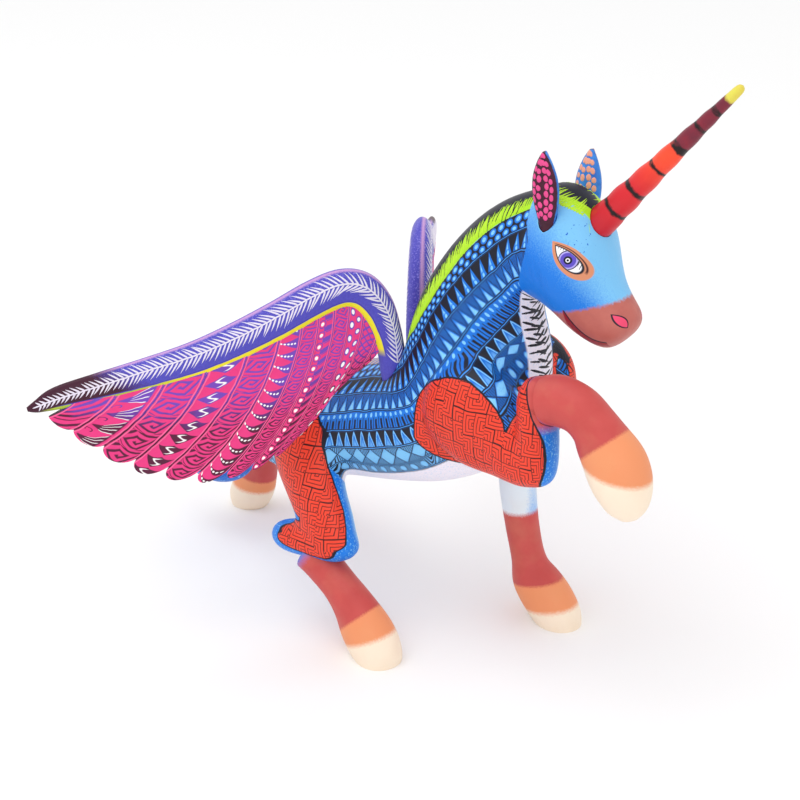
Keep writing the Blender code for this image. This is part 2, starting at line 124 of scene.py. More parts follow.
def together(shells):
    points, faces, start = [], [], 0
    for some, these in shells:
        points.append(some)
        faces += [tuple(start + corner for corner in face) for face in these]
        start += len(some)
    return np.vstack(points), faces


def objectFrom(name, points, faces, crease=40):
    mesh = bpy.data.meshes.new(name)
    mesh.from_pydata(((points + datum) * mm).tolist(), [], faces)
    shape = bmesh.new()
    shape.from_mesh(mesh)
    bmesh.ops.recalc_face_normals(shape, faces=shape.faces)
    shape.to_mesh(mesh)
    shape.free()
    finishMesh(mesh, crease)
    made = bpy.data.objects.new(name, mesh)
    bpy.context.scene.collection.objects.link(made)
    return made


def finishMesh(mesh, crease=40):
    mesh.shade_smooth()
    mesh.set_sharp_from_angle(angle=math.radians(crease))


def bake(made):  # applies the live modifiers
    graph = bpy.context.evaluated_depsgraph_get()
    mesh = bpy.data.meshes.new_from_object(made.evaluated_get(graph))
    old = made.data
    made.modifiers.clear()
    made.data = mesh
    bpy.data.meshes.remove(old)


def cutAway(made, shells):
    points, faces = together(shells)
    cutter = objectFrom("cutter", points, faces)
    for thing in (made, cutter):
        flat = thing.modifiers.new("flat", "TRIANGULATE")
        flat.quad_method = "BEAUTY"
    bake(cutter)
    cut = made.modifiers.new("cut", "BOOLEAN")
    cut.operation = "DIFFERENCE"
    cut.object = cutter
    bake(made)
    bpy.data.objects.remove(cutter)


def spots(made):  # vertex places in the figure's own millimetres
    found = np.empty(len(made.data.vertices) * 3, np.float32)
    made.data.vertices.foreach_get("co", found)
    return found.reshape(-1, 3).astype(float) / mm - datum


def facings(made):
    found = np.empty(len(made.data.vertices) * 3, np.float32)
    made.data.vertex_normals.foreach_get("vector", found)
    return found.reshape(-1, 3).astype(float)


def note(made, name, values):  # a number at each vertex, for the paint
    field = made.data.attributes.new(name, "FLOAT", "POINT")
    field.data.foreach_set("value", np.asarray(values, np.float32))


def outlineDistance(flat, outline, steps=4):  # millimetres inside a closed outline, negative outside
    closed = eased([*outline, outline[0]], steps)
    nearest = np.full(len(flat), 1e9)
    inside = np.zeros(len(flat), bool)
    for start, finish in zip(closed, closed[1:]):
        edge = finish - start
        if edge @ edge < 1e-9:
            continue
        share = np.clip(((flat - start) @ edge) / (edge @ edge), 0, 1)
        nearest = np.minimum(nearest, np.linalg.norm(flat - start - share[:, None] * edge, axis=1))
        crosses = (start[1] > flat[:, 1]) != (finish[1] > flat[:, 1])
        height = edge[1] if abs(edge[1]) > 1e-9 else 1e-9
        inside ^= crosses & (flat[:, 0] < start[0] + edge[0] * (flat[:, 1] - start[1]) / height)
    return np.where(inside, nearest, -nearest)


def srgb(*code):  # a colour named in 0-255 sRGB steps, as linear light
    return tuple(((c / 255 + 0.055) / 1.055) ** 2.4 if c > 10 else c / 3294.6 for c in code) + (1.0,)


class Flow:  # one socket, so that sums on it are written as sums
    def __init__(self, paint, socket):
        self.paint, self.socket = paint, socket

    def sum(self, operation, *others, clamp=False):
        inputs = dict(enumerate((self, *others)))
        return self.paint.node("ShaderNodeMath", {"operation": operation, "use_clamp": clamp}, inputs)

    def __add__(self, other):
        return self.sum("ADD", other)

    def __sub__(self, other):
        return self.sum("SUBTRACT", other)

    def __mul__(self, other):
        return self.sum("MULTIPLY", other)

    def __truediv__(self, other):
        return self.sum("DIVIDE", other)

    def __pow__(self, other):
        return self.sum("POWER", other)

    def __rsub__(self, other):
        return self.paint.node("ShaderNodeMath", {"operation": "SUBTRACT"}, {0: other, 1: self})

    def __and__(self, other):
        return self.sum("MINIMUM", other)

    def __or__(self, other):
        return self.sum("MAXIMUM", other)

    def __abs__(self):
        return self.sum("ABSOLUTE")

    __radd__, __rmul__ = __add__, __mul__

    def fraction(self):
        return self.sum("FRACT")

    def floor(self):
        return self.sum("FLOOR")

    def below(self, edge, soft=0.1):  # 1 where this is under the edge
        if isinstance(edge, Flow):
            return (self - edge).below(0, soft)
        return self.sum("MULTIPLY_ADD", -1 / soft, edge / soft + 0.5, clamp=True)

    def above(self, edge, soft=0.1):
        if isinstance(edge, Flow):
            return (self - edge).above(0, soft)
        return self.sum("MULTIPLY_ADD", 1 / soft, 0.5 - edge / soft, clamp=True)

    def within(self, start, finish, soft=0.1):
        return abs(self - (start + finish) / 2).below((finish - start) / 2, soft)

    def line(self, place, width, soft=0.08):
        return abs(self - place).below(width / 2, soft)


class Net:  # a node tree, and one way to add a node to it
    def __init__(self, tree):
        self.tree = tree

    def node(self, kind, settings=None, inputs=None, out=0):
        made = self.tree.nodes.new(kind)
        for key, value in (settings or {}).items():
            if key == "stops":
                self.setStops(made.color_ramp, value)
            else:
                setattr(made, key, value)
        for key, value in (inputs or {}).items():
            if isinstance(value, Flow):
                self.tree.links.new(value.socket, made.inputs[key])
            else:
                made.inputs[key].default_value = value
        return None if out is None else Flow(self, made.outputs[out])

    def setStops(self, ramp, stops):
        while len(ramp.elements) < len(stops):
            ramp.elements.new(1.0)
        for element, (place, colour) in zip(ramp.elements, stops):
            element.position = place
            element.color = colour

    def split(self, vector):
        made = self.node("ShaderNodeSeparateXYZ", None, {0: vector}).socket.node
        return [Flow(self, made.outputs[axis]) for axis in range(3)]

    def joined(self, *parts):
        return self.node("ShaderNodeCombineXYZ", None, dict(enumerate(parts)))


class Paint(Net):  # one procedural material
    def __init__(self, name, roughness=0.5):
        self.material = bpy.data.materials.new(name)
        self.material.use_nodes = True
        super().__init__(self.material.node_tree)
        self.shader = self.tree.nodes["Principled BSDF"]
        self.shader.inputs["Roughness"].default_value = roughness
        self.shader.inputs["Specular IOR Level"].default_value = 0.3
        point = self.node("ShaderNodeTexCoord", out="Object")
        scale, back = (1 / mm,) * 3, tuple(-datum)
        steps = {"operation": "MULTIPLY_ADD"}
        self.place = self.node("ShaderNodeVectorMath", steps, {0: point, 1: scale, 2: back}, "Vector")
        self.x, self.y, self.z = self.split(self.place)

    def field(self, name):
        return self.node("ShaderNodeAttribute", {"attribute_name": name}, out="Fac")

    def mix(self, mask, under, over):
        return self.node("ShaderNodeMix", {"data_type": "RGBA"}, {0: mask, 6: under, 7: over}, 2)

    def ramp(self, value, stops):
        return self.node("ShaderNodeValToRGB", {"stops": stops}, {0: value})

    def noise(self, size, detail=2.0, roughness=0.5, vector=None):  # size in millimetres
        inputs = {"Vector": vector or self.place, "Scale": 1 / size, "Detail": detail, "Roughness": roughness}
        return self.node("ShaderNodeTexNoise", None, inputs, "Fac")

    def speck(self, *parts):  # a random number for each cell
        return self.node("ShaderNodeTexWhiteNoise", {"noise_dimensions": "3D"},
            {"Vector": self.joined(*parts)}, "Value")

    def finish(self, colour, relief=None, depth=0.05, grain=0.04):
        grainy = self.noise(2.2, 4.0, 0.6)
        sprayed = self.noise(0.35, 2.0)
        height = grainy * grain + sprayed * 0.02
        if relief:
            height = height + relief * depth
        inputs = {"Height": height * mm, "Distance": 1.0, "Strength": 1.0}
        bump = self.node("ShaderNodeBump", None, inputs, "Normal")
        self.tree.links.new(bump.socket, self.shader.inputs["Normal"])
        self.tree.links.new(colour.socket, self.shader.inputs["Base Color"])
        rough = self.shader.inputs["Roughness"].default_value
        varied = self.noise(6.0, 3.0) * 0.16 + (rough - 0.08)
        self.tree.links.new(varied.socket, self.shader.inputs["Roughness"])
        return self.material


def ellipseAt(p, q, centreP, centreQ, radiusP, radiusQ):  # 1 on the ellipse's edge, less inside
    across = (p - centreP) / radiusP
    down = (q - centreQ) / radiusQ
    return across * across + down * down


def addPiece(made, body, material):
    made.data.materials.clear()
    made.data.materials.append(material)
    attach(made, body)
    return made


block = {
    "voxel": 1.3,
    "softening": 70,
    # rump to poll: top x, z, bottom x, z, half width
    "torso": [
        (-88, 86, -83, 72, 9), (-79, 97, -72, 61, 22), (-60, 108, -56, 58, 30), (-38, 116, -38, 62, 32),
        (-18, 123, -15, 67.5, 32), (0, 130, 10, 72.5, 33), (9, 138, 35, 79.5, 33), (12, 148, 57, 92, 31),
        (13, 158, 74, 111, 27.5), (16, 168, 80, 134, 24), (23, 181, 79.5, 152, 21), (33, 195, 75.5, 164, 19),
        (45, 208, 74, 172, 17.5), (58, 218, 74, 180, 16), (72, 225, 80, 190, 14), (84, 229, 90, 200, 10),
    ],
    # nape to muzzle
    "head": [
        (76, 225, 70, 190, 9), (82, 230, 71, 180, 15.5), (91, 231, 77, 177, 18), (98, 228, 83, 175, 19),
        (104.5, 222, 89, 172, 19), (109, 214, 94.5, 168, 17.5), (111.5, 205, 100, 165, 15),
        (114.5, 195.5, 106, 163, 13), (119.5, 187.5, 111, 162.5, 12.2), (124.5, 182, 115, 163.5, 11),
        (125.5, 177, 118.5, 167, 8.5), (123.5, 172.5, 122, 170.5, 2.5),
    ],
    # x, y, z, half depth, half width
    "limbs": {
        "rightShoulder": [
            (38, -24, 127, 5, 5), (44, -25, 127, 18, 13), (60, -25.5, 127, 25, 14.5), (76, -27, 122, 21, 13),
            (88, -31, 118, 14.5, 11.5), (98, -33, 117, 11.5, 10), (106, -33, 117, 4, 4),
        ],
        "rightForearm": [
            (97, -33, 108, 4, 4), (98, -33, 112, 9.5, 9.5), (99.5, -33.5, 124, 9.5, 10),
            (99, -33, 138, 9, 10),
            (98.5, -32.5, 149, 9.5, 10), (97.5, -32, 157, 5, 6),
        ],
        "leftShoulder": [
            (60, 19, 148, 8, 6), (59, 23, 140, 19, 11), (57, 25, 124, 22, 13), (54, 28, 108, 17, 12.5),
            (49, 31, 92, 13, 11.5), (45, 33, 78, 11, 10.5), (43.5, 33.5, 70, 9, 9),
        ],
        "rightThigh": [
            (-42, -12, 100, 12, 10), (-41, -17, 94, 25, 18), (-33, -27, 83, 20, 14), (-21, -35, 68, 15.5, 12),
            (-10, -39, 54, 13.5, 11), (-4, -40, 48, 9.5, 9.5), (-3, -40, 43.5, 5, 5),
        ],
        "rightHock": [
            (6, -40, 49, 4, 5), (-4, -40, 48, 8.5, 9.5), (-20, -41, 46, 8.2, 9.5), (-35, -41, 44.5, 8, 8.5),
            (-43, -41, 44, 4, 4),
        ],
        "leftThigh": [
            (-44, 12, 100, 12, 10), (-45, 17, 94, 25, 18), (-53, 26, 83, 19, 14), (-61, 31, 72, 14.5, 11.5),
            (-67, 33, 63, 11, 10.5), (-69, 34, 56, 5, 6),
        ],
        "leftHock": [
            (-60, 33, 64, 5, 6), (-68, 33, 64, 10.5, 10.5), (-82, 33.5, 62, 10.5, 10),
            (-96, 33, 59, 10.5, 9.5),
            (-108, 32, 55, 9.5, 9), (-116, 32, 53, 4, 4),
        ],
    },
}

legs = {
    "dowelRadius": 2.5, "dowelLength": 15.0,
    "right_fore": [
        (103, -32.5, 147.5, 10.6, 10), (110, -32.5, 149, 11, 10), (119, -32.5, 147.5, 10.6, 9.6),
        (126, -32.3, 142.5, 10.6, 9.4), (131.5, -32, 135.5, 12.6, 10.6), (137.5, -32, 127.5, 14, 12.2),
        (141.5, -32, 118.5, 12.8, 11.8), (144, -32, 110, 9, 8.6), (145, -32, 105.5, 4, 4),
    ],
    "left_fore": [
        (43.5, 33.6, 73, 9, 8.8), (43.8, 34, 62, 8.8, 8.4), (46.5, 34, 45, 8, 8), (50.5, 34, 29, 8.2, 8),
        (54.5, 34, 19.5, 11.4, 10), (62.5, 34, 10.5, 12.4, 11), (70, 33.8, 2, 10.6, 10.4),
        (75, 33.5, -5, 6, 7),
    ],
    "right_hind": [
        (-20, -41, 39.5, 9, 8.8), (-13, -41.5, 36, 8.8, 8.6), (-2, -42.5, 29, 8.6, 8.4),
        (6.5, -43.3, 22, 10.4, 9), (14, -44.3, 14, 12.4, 10.8), (20.5, -45, 6.5, 12.2, 11.4),
        (26, -45.6, -1, 9.4, 9.8), (29, -46, -5, 5, 6),
    ],
    "left_hind": [
        (-108, 33, 49, 8.8, 8.6), (-112, 34, 41, 8.4, 8.2), (-117.5, 35.5, 31, 8.4, 8.2),
        (-122, 37, 20.5, 10, 9),
        (-126, 38, 12.5, 11.2, 10.4), (-130.5, 38.5, 4, 10.6, 10.4), (-133, 38.5, -4, 6.5, 7),
    ],
    # a point and a direction for each change of colour: above the first is the blue of the glue joint
    "blueEnds": {
        "right_fore": ((103, -34, 139), (0.75, 0, 0.66)), "left_fore": ((48, 33, 53), (0.1, 0, -1)),
        "right_hind": ((-20, -41, 40), (0.8, 0, -0.6)), "left_hind": ((-108, 33, 50), (-0.3, 0, -1)),
    },
    "peachStarts": {
        "right_fore": ((133, -36, 136.5), (0.66, 0, -0.75)), "left_fore": ((61, 34, 20), (0.24, 0, -0.97)),
        "right_hind": ((12.5, -44, 18.5), (0.68, 0, -0.73)), "left_hind": ((-121, 36, 19), (-0.1, 0, -1)),
    },
    "creamStarts": {
        "right_fore": ((143, -36, 124.5), (-0.12, 0, -1)), "left_fore": ((68, 34, 8.5), (0.22, 0, -0.97)),
        "right_hind": ((21.5, -45, 11.5), (0.42, 0, -0.9)), "left_hind": ((-122, 36, 12), (-0.1, 0, -1)),
    },
}

plugs = {
    # how far the foot is let in, and its width there, as shares of its radius
    "hornSunk": 0.35, "hornSunkWidth": 0.9,
    "hornSteps": 12, "hornPoint": 0.6, "earEdge": 0.35,
    "hornFoot": (105, 0, 217), "hornPull": unit((0.671, 0, 0.742)), "hornLength": 90.5,
    "hornBase": 6.6, "hornTip": 1.9, "hornPeg": (3.0, 12.0),
    "earFoot": (88, -14.5, 217.5), "leftEarShift": (1, -1.5, -7), "earLean": 0.10, "earLength": 31.0,
    "earBreadth": 6.4, "earThickness": 3.2, "earPeg": (2.2, 9.0),
    "earOutline": [
        (-0.16, 0.42), (0.05, 0.66), (0.25, 0.9), (0.45, 1.0), (0.65, 0.9), (0.83, 0.6), (0.95, 0.28),
        (1.0, 0.1),
    ],
    "tailPull": unit((-0.76, 0, 0.65)), "tailPeg": (3.5, 13.0),
    "tail": [
        (-77, 0, 88.5, 6.5, 6), (-84, 0, 94, 8, 7.5), (-92.5, 0.5, 95.5, 9, 8.5), (-100, 1, 90, 9.4, 9),
        (-103, 1.5, 79, 9, 8.6), (-101, 2, 67, 8.8, 8.4), (-101, 2.5, 55, 9, 8.6), (-108, 3, 44, 9.4, 8.8),
        (-121, 3, 39.2, 9.2, 8.6), (-134, 3.5, 42, 8.2, 8), (-143, 4.5, 50.5, 6.4, 6.2),
        (-147.5, 5.5, 61, 3.8, 3.8), (-148, 6, 69, 1.2, 1.2),
    ],
}

wing = {
    "root": (9, -15.5, 131), "leftShift": (-10, 0, 2), "splay": {-1: 52.0, 1: 55.0}, "pullSpread": 0.30,
    "tenon": (7.0, 5.0, 15.0), "fanHalf": 2.3,
    # out along the wing, up from its root, half breadth, half thickness
    "arm": [
        (0.5, -6, 5, 5), (0.5, 0, 6, 6), (1.5, 9, 6.2, 6), (4, 20, 6.8, 5.8), (8.2, 31, 7.8, 5.5),
        (15, 39, 8.6, 5.2), (24, 41, 9, 5), (36, 37, 9.2, 4.8), (52, 29, 9.2, 4.5), (70, 21, 9, 4.2),
        (90, 14, 8.4, 3.8), (111, 9.2, 7.7, 3.4), (132, 5.2, 6.8, 3), (150, 2, 5.4, 2.5), (159, -1, 3, 1.8),
        (163.5, -2, 1, 0.8),
    ],
    # where each feather leaves the arm, and its tip
    "feathers": [
        (134, 1, 151, -11), (113, 4, 141, -20), (94, 8, 129, -30), (74, 15, 116, -38), (58, 22, 102, -43),
        (46, 27, 88, -46), (38, 31, 75, -45), (31, 34, 64, -42), (24, 35, 53, -36), (18, 33, 42, -26),
        (11, 28, 29, -10), (5, 16, 16, 2),
    ],
    "sag": (-13, -3), "sagLength": 73.0, "notch": 0.07,
}


def hornRows(fromFoot=0.0):
    foot, pull = np.array(plugs["hornFoot"]), plugs["hornPull"]
    base, tip, length = plugs["hornBase"], plugs["hornTip"], plugs["hornLength"]
    sunk = base * plugs["hornSunkWidth"]
    rows = [(*(foot - pull * (base * plugs["hornSunk"] + fromFoot)), sunk, sunk)]
    for share in np.arange(plugs["hornSteps"] + 1) / plugs["hornSteps"]:
        size = base + (tip - base) * share
        rows.append((*(foot + pull * length * share), size, size))
    return [*rows, (*(foot + pull * (length + tip)), plugs["hornPoint"], plugs["hornPoint"])]


def earRows(side):
    foot = np.array(plugs["earFoot"]) * (1, -side, 1) + (np.array(plugs["leftEarShift"]) if side > 0 else 0)
    pull = unit((0, side * plugs["earLean"], 1))
    rows = []
    for share, size in plugs["earOutline"]:
        thick = plugs["earThickness"] * (plugs["earEdge"] + (1 - plugs["earEdge"]) * size)
        rows.append((*(foot + pull * plugs["earLength"] * share), plugs["earBreadth"] * size, thick))
    return foot, pull, rows


def wingFrame(side):  # root, out, facing and pull directions
    root = np.array(wing["root"]) * (1, -side, 1) + (np.array(wing["leftShift"]) if side > 0 else 0)
    splay = math.radians(wing["splay"][side])
    outward = np.array((-math.cos(splay), side * math.sin(splay), 0))
    facing = np.array((math.sin(splay), side * math.cos(splay), 0))
    return root, outward, facing, unit((0, side * wing["pullSpread"], 1))


def onWing(side, across, upward):  # a place in the wing's plane
    root, outward, _, _ = wingFrame(side)
    return root + np.multiply.outer(across, outward) + np.multiply.outer(upward, (0, 0, 1))


def armRings(side, steps, count, grow=0.0, stop=None):
    _, outward, facing, _ = wingFrame(side)
    rows = eased(wing["arm"][:stop], steps)
    rings = []
    for index, row in enumerate(rows):
        along = unit(rows[min(index + 1, len(rows) - 1), :2] - rows[max(index - 1, 0), :2])
        square = outward * -along[1] + np.array((0, 0, 1)) * along[0]
        rings.append(ring(onWing(side, row[0], row[1]), square * (row[2] + grow), facing * (row[3] + grow),
            count))
    return rings


def tenonRings(side, grow=0.0):
    root, outward, _, pull = wingFrame(side)
    breadth, thickness, length = wing["tenon"]
    broad = unit(outward - pull * (outward @ pull)) * (breadth / 2 + grow)
    thick = unit(np.cross(broad, pull)) * (thickness / 2 + grow)
    corners = [broad + thick, broad - thick, -broad - thick, -broad + thick]
    return [np.array([end + corner for corner in corners]) for end in (root + pull * 2,
        root - pull * (length + grow))]


def legJoint(name):
    stations = np.array(legs[name], float)
    return stations[0, :3], unit(stations[1, :3] - stations[0, :3])


def plugHole(foot, pull, peg):  # room for a round peg
    radius, length = peg
    foot = np.array(foot, float)
    return rodRings(foot + pull * radius, foot - pull * (length + glueGap), radius + glueGap)


def socketShells():  # seats first, then the holes that go deeper
    seats, holes = [], []
    for name in ("right_fore", "left_fore", "right_hind", "left_hind"):
        joint, down = legJoint(name)
        stations = legs[name]
        start = (*(joint - down * glueGap), *stations[0][3:])
        seats.append(limbRings([start, *stations[1:4]], 4, 32, glueGap))
        reach = down * (legs["dowelLength"] / 2 + glueGap)
        holes.append(rodRings(joint - reach, joint + reach, legs["dowelRadius"] + glueGap))
    seats.append(limbRings(hornRows(glueGap)[:4], 2, 32, glueGap))
    holes.append(plugHole(plugs["hornFoot"], plugs["hornPull"], plugs["hornPeg"]))
    tail = plugs["tail"]
    start = np.array(tail[0][:3]) - plugs["tailPull"] * glueGap
    seats.append(limbRings([(*start, *tail[0][3:]), *tail[1:4]], 4, 32, glueGap))
    holes.append(plugHole(tail[1][:3], plugs["tailPull"], plugs["tailPeg"]))
    for side in sides.values():
        foot, pull, rows = earRows(side)
        seats.append(limbRings(rows[:4], 4, 32, glueGap))
        holes.append(plugHole(foot, pull, plugs["earPeg"]))
        seats.append(armRings(side, 4, 32, glueGap, 5))
        holes.append(tenonRings(side, glueGap))
    return [shell(rings) for rings in seats], [shell(rings) for rings in holes]


torsoRows = eased(block["torso"], 10)
torsoMiddle = (torsoRows[:, 0:2] + torsoRows[:, 2:4]) / 2
torsoLength = np.concatenate([[0], np.cumsum(np.linalg.norm(np.diff(torsoMiddle, axis=0), axis=1))])


def ellipseArc(half, halfWidth, angle):  # length round an ellipse from its top
    shares = (np.arange(24) + 0.5) / 24
    turns = np.multiply.outer(angle, shares)
    speed = np.sqrt((half[..., None] * np.sin(turns)) ** 2 + (halfWidth[..., None] * np.cos(turns)) ** 2)
    return angle * speed.mean(-1)


# along the spine, round from the crest, share of the torso's radius, round to the belly
def torsoPlaces(points):
    flat = points[:, [0, 2]]
    span = torsoRows[:, 0:2] - torsoRows[:, 2:4]
    upward = span / np.linalg.norm(span, axis=1)[:, None]
    forward = np.stack([upward[:, 1], -upward[:, 0]], 1)
    ahead = flat @ forward.T - (torsoMiddle * forward).sum(1)
    above = flat @ upward.T - (torsoMiddle * upward).sum(1)
    half = np.linalg.norm(span, axis=1) / 2
    crossing = (ahead[:, :-1] >= 0) & (ahead[:, 1:] < 0)
    cost = np.where(crossing, np.abs(above[:, :-1] / half[:-1]), 1e9)
    section = cost.argmin(1)
    none = cost.min(1) > 1e8
    section[none] = np.where(ahead[none, 0] < 0, 0, len(torsoRows) - 2)
    picked = np.arange(len(points))
    before, after = ahead[picked, section], ahead[picked, section + 1]
    share = np.clip(before / np.where(before - after == 0, 1, before - after), 0, 1)

    def between(values):
        return values[section] * (1 - share) + values[section + 1] * share

    halfHere, width, along = between(half), between(torsoRows[:, 4]), between(torsoLength)
    height = (above[picked, section] * (1 - share) + above[picked, section + 1] * share) / halfHere
    aside = np.abs(points[:, 1]) / width
    angle = np.arctan2(aside, height)
    arc = ellipseArc(halfHere, width, angle)
    whole = ellipseArc(halfHere, width, np.full(len(points), np.pi))
    return along, arc, np.hypot(aside, height), whole - arc


# a place along the spine and round from the crest, or round from the belly if negative
def onTorso(along, arc, side):
    row = [np.interp(along, torsoLength, torsoRows[:, column]) for column in range(5)]
    top, bottom = np.array((row[0], 0, row[1])), np.array((row[2], 0, row[3]))
    half, width = np.array([np.linalg.norm(top - bottom) / 2]), np.array([row[4]])
    angles = np.linspace(0, np.pi, 90)
    arcs = np.array([ellipseArc(half, width, np.array([angle]))[0] for angle in angles])
    angle = np.interp(arc % arcs[-1], arcs, angles)
    return (top + bottom) / 2 + (top - bottom) / 2 * math.cos(angle) + np.array((0,
        side * row[4] * math.sin(angle), 0))


bodyColours = {
    "ground": srgb(16, 120, 222), "core": srgb(132, 204, 250), "ink": srgb(14, 18, 36),
    "deep": srgb(10, 96, 200),
    "sky": srgb(120, 190, 236), "lime": srgb(168, 222, 20), "white": srgb(236, 232, 244),
    "orange": srgb(238, 70, 44), "orangeInk": srgb(52, 14, 16), "haze": srgb(70, 158, 236),
    "muzzle": srgb(172, 88, 82), "lip": srgb(150, 22, 30), "nostril": srgb(232, 70, 110),
    "lid": srgb(214, 140, 104), "brown": srgb(70, 30, 34), "eyeWhite": srgb(244, 244, 250),
    "iris": srgb(92, 74, 190), "irisRim": srgb(176, 166, 232), "ochre": srgb(214, 176, 120),
}

bands = {
    # millimetres round from the crest to the mane's lower edge and to the lower edge of each band, at
    # places along
    "along": (60, 90, 107, 128, 150, 170, 190, 210, 232),
    "edges": [
        (5, 5, 8, 16, 22, 22, 20.5, 17.6, 13.3), (17, 17, 21, 27, 28, 26.5, 26, 24.6, 20.5),
        (26, 26, 30, 38.5, 37, 35.5, 35.2, 33.8, 28), (35, 34.8, 37.5, 45.8, 47, 45.8, 44.3, 43, 38),
        (43.2, 43.6, 46.5, 54, 55.5, 56, 55.5, 54, 50), (50, 52.4, 55.2, 62, 62, 62.5, 64.8, 66, 64),
        (56, 61.8, 65.7, 69.5, 68, 68, 72.5, 75, 74), (60, 68.3, 70.5, 76, 76, 77, 80, 84, 84),
    ],
    # cell length along the body
    "cells": {
        "blobs": 4.4, "flames": 5.6, "peaks": 5.4, "comb": 3.6, "arches": 5.0, "crosses": 8.0, "hatch": 5.0,
        "leaves": 5.0,
    },
}


def bandPlace(along, arc):  # 0 at the crest, 1 at the mane's lower edge, then one more for each band
    edges = [np.interp(along, bands["along"], row) for row in bands["edges"]]
    edges = [np.zeros_like(edges[0]), *edges, edges[-1] + 10]
    found = np.zeros_like(arc)
    for number, (start, finish) in enumerate(zip(edges, edges[1:])):
        found = np.where(arc >= start, number + (arc - start) / (finish - start), found)
    return found


eye = {"centre": (101, 204), "long": (0.745, -0.667), "halfLength": 10.8, "halfHeight": 5.2}

nostril = {"aside": 7.4, "height": 179.3, "long": 3.2, "wide": 1.7}
mouth = {"front": 114.2, "length": 16.2, "low": 168.6, "rise": 11.6, "curl": 3.0}

shoulderOutline = [
    (32.5, 110), (32.5, 122), (34, 130.5), (40, 138), (47, 142.5), (54, 145.3), (63, 146), (72, 142.5),
    (82, 135),
    (86, 130), (87, 136), (89, 146), (91.5, 154), (94.5, 158), (98, 152), (101.5, 143), (104.6, 136),
    (106.6, 129),
    (106.4, 117), (101, 106), (88, 101), (70, 97), (50, 99), (38, 104),
]
leftShoulderOutline = [
    (34, 112), (34, 126), (38, 138), (48, 147), (60, 150), (72, 144), (80, 132), (79, 118), (72, 104),
    (62, 90),
    (57, 75), (40, 72), (34, 84), (32, 98),
]
thighOutline = [
    (4, 43.5), (8, 60), (6, 76), (-8, 92), (-20, 100), (-25, 105), (-33, 111), (-44, 113), (-56, 108),
    (-65, 97),
    (-67, 84), (-58, 74), (-46, 67), (-34, 63), (-27, 60.5), (-21, 58.4), (-31, 54), (-34.5, 49.4),
    (-31.5, 44.4),
    (-14, 43.2),
]
leftThighOutline = [
    (-22, 104), (-30, 111), (-44, 113), (-58, 108), (-68, 98), (-78, 88), (-84, 76), (-98, 68), (-105, 60),
    (-98, 52), (-80, 53), (-62, 53), (-48, 62), (-38, 76), (-30, 88),
]
thighInnerEdge = [(40, 48), (49, 47.6), (52, 44.3), (58, 41.5), (66, 38.7), (74, 37.2), (84, 36), (92, 34),
    (104, 30), (114, 24)]


def bandMasks(paint, along, band):  # dark ink, light cores and border threads of the painted bands
    along = along + (paint.noise(9.0, 2.0) - 0.5) * 1.6
    band = band + (paint.noise(7.0, 2.0) - 0.5) * 0.16
    chest = paint.field("chest")
    slant = paint.x * 0.38 + paint.z * 0.65 - abs(paint.y) * 0.66
    low = along * (1 - chest) + slant * chest  # the lower bands slant up the chest
    ink, core = None, None
    for number, (name, drawing) in enumerate(bandDrawings.items(), 1):
        steps = (low if number > 4 else along) / bands["cells"][name]
        here = abs(band - (number + 0.5)).below(0.5, 0.02)
        dark, light = drawing(paint, steps.fraction() - 0.5, band - number, steps)
        ink = (dark & here) if ink is None else ink | (dark & here)
        core = (light & here) if core is None else core | (light & here)
    nearest = abs((band + 0.5).fraction() - 0.5)
    painted = band.above(1.4, 0.02)
    border = nearest.below(0.075, 0.02) & painted
    thread = nearest.below(0.02, 0.015) & painted
    return (ink & (1 - border)) | border, core & (1 - border), thread


def drawBlobs(paint, p, q, steps):
    shifted = (steps + 0.5).fraction() - 0.5
    upper = ellipseAt(p, q, 0.0, 0.3, 0.4, 0.24)
    lower = ellipseAt(shifted, q, 0.0, 0.76, 0.38, 0.2)
    nearest = upper & lower
    return 1 - nearest.below(1.0, 0.3), nearest.below(0.3, 0.25)


def drawFlames(paint, p, q, steps):
    lean = (steps + q * 0.42).fraction() - 0.5
    body = (abs(lean) - q * 0.5).below(-0.06, 0.05) & q.below(0.92, 0.08)
    light = (abs(lean + 0.05) - q * 0.3).below(-0.1, 0.06) & q.within(0.34, 0.66, 0.1)
    dot = ellipseAt(lean, q, 0.0, 0.82, 0.12, 0.1).below(1.0, 0.4)
    return 1 - body, light | dot


def drawPeaks(paint, p, q, steps):
    flank = abs(p) - q * 0.46
    peak = flank.below(-0.03, 0.05)
    light = flank.below(-0.16, 0.1) & q.above(0.45, 0.2)
    hatch = (steps * 7.0).fraction().below(0.4, 0.15) & flank.above(0.06, 0.05)
    outline = flank.line(0.01, 0.1, 0.05)
    return (hatch | outline) & (1 - peak), light


def drawComb(paint, p, q, steps):
    dot = ellipseAt(p, q, 0.0, 0.24, 0.2, 0.11).below(1.0, 0.4)
    slot = abs(p).below(0.17, 0.06) & q.within(0.46, 0.94, 0.06)
    gap = abs(p).above(0.44, 0.06) & q.above(0.36, 0.06)
    return slot | gap, dot


def drawArches(paint, p, q, steps):
    width = (((q - 0.08) / 0.92) | 0.0) ** 0.62 * 0.43
    inside = abs(p) - width
    outline = inside.line(-0.075, 0.085, 0.05)
    glow = inside.below(-0.22, 0.08) & q.above(0.62, 0.3)
    return inside.above(0.0, 0.05), outline | glow * 0.5


def drawCrosses(paint, p, q, steps):
    rise = abs(q - 0.5)
    crossing = rise - abs(p)
    lines = abs(crossing).below(0.035, 0.03)
    hatch = (steps * 9.0).fraction().below(0.42, 0.15) & crossing.above(0.04, 0.03)
    glow = crossing.below(-0.1, 0.06) & rise.below(0.3, 0.2)
    return lines | hatch, glow


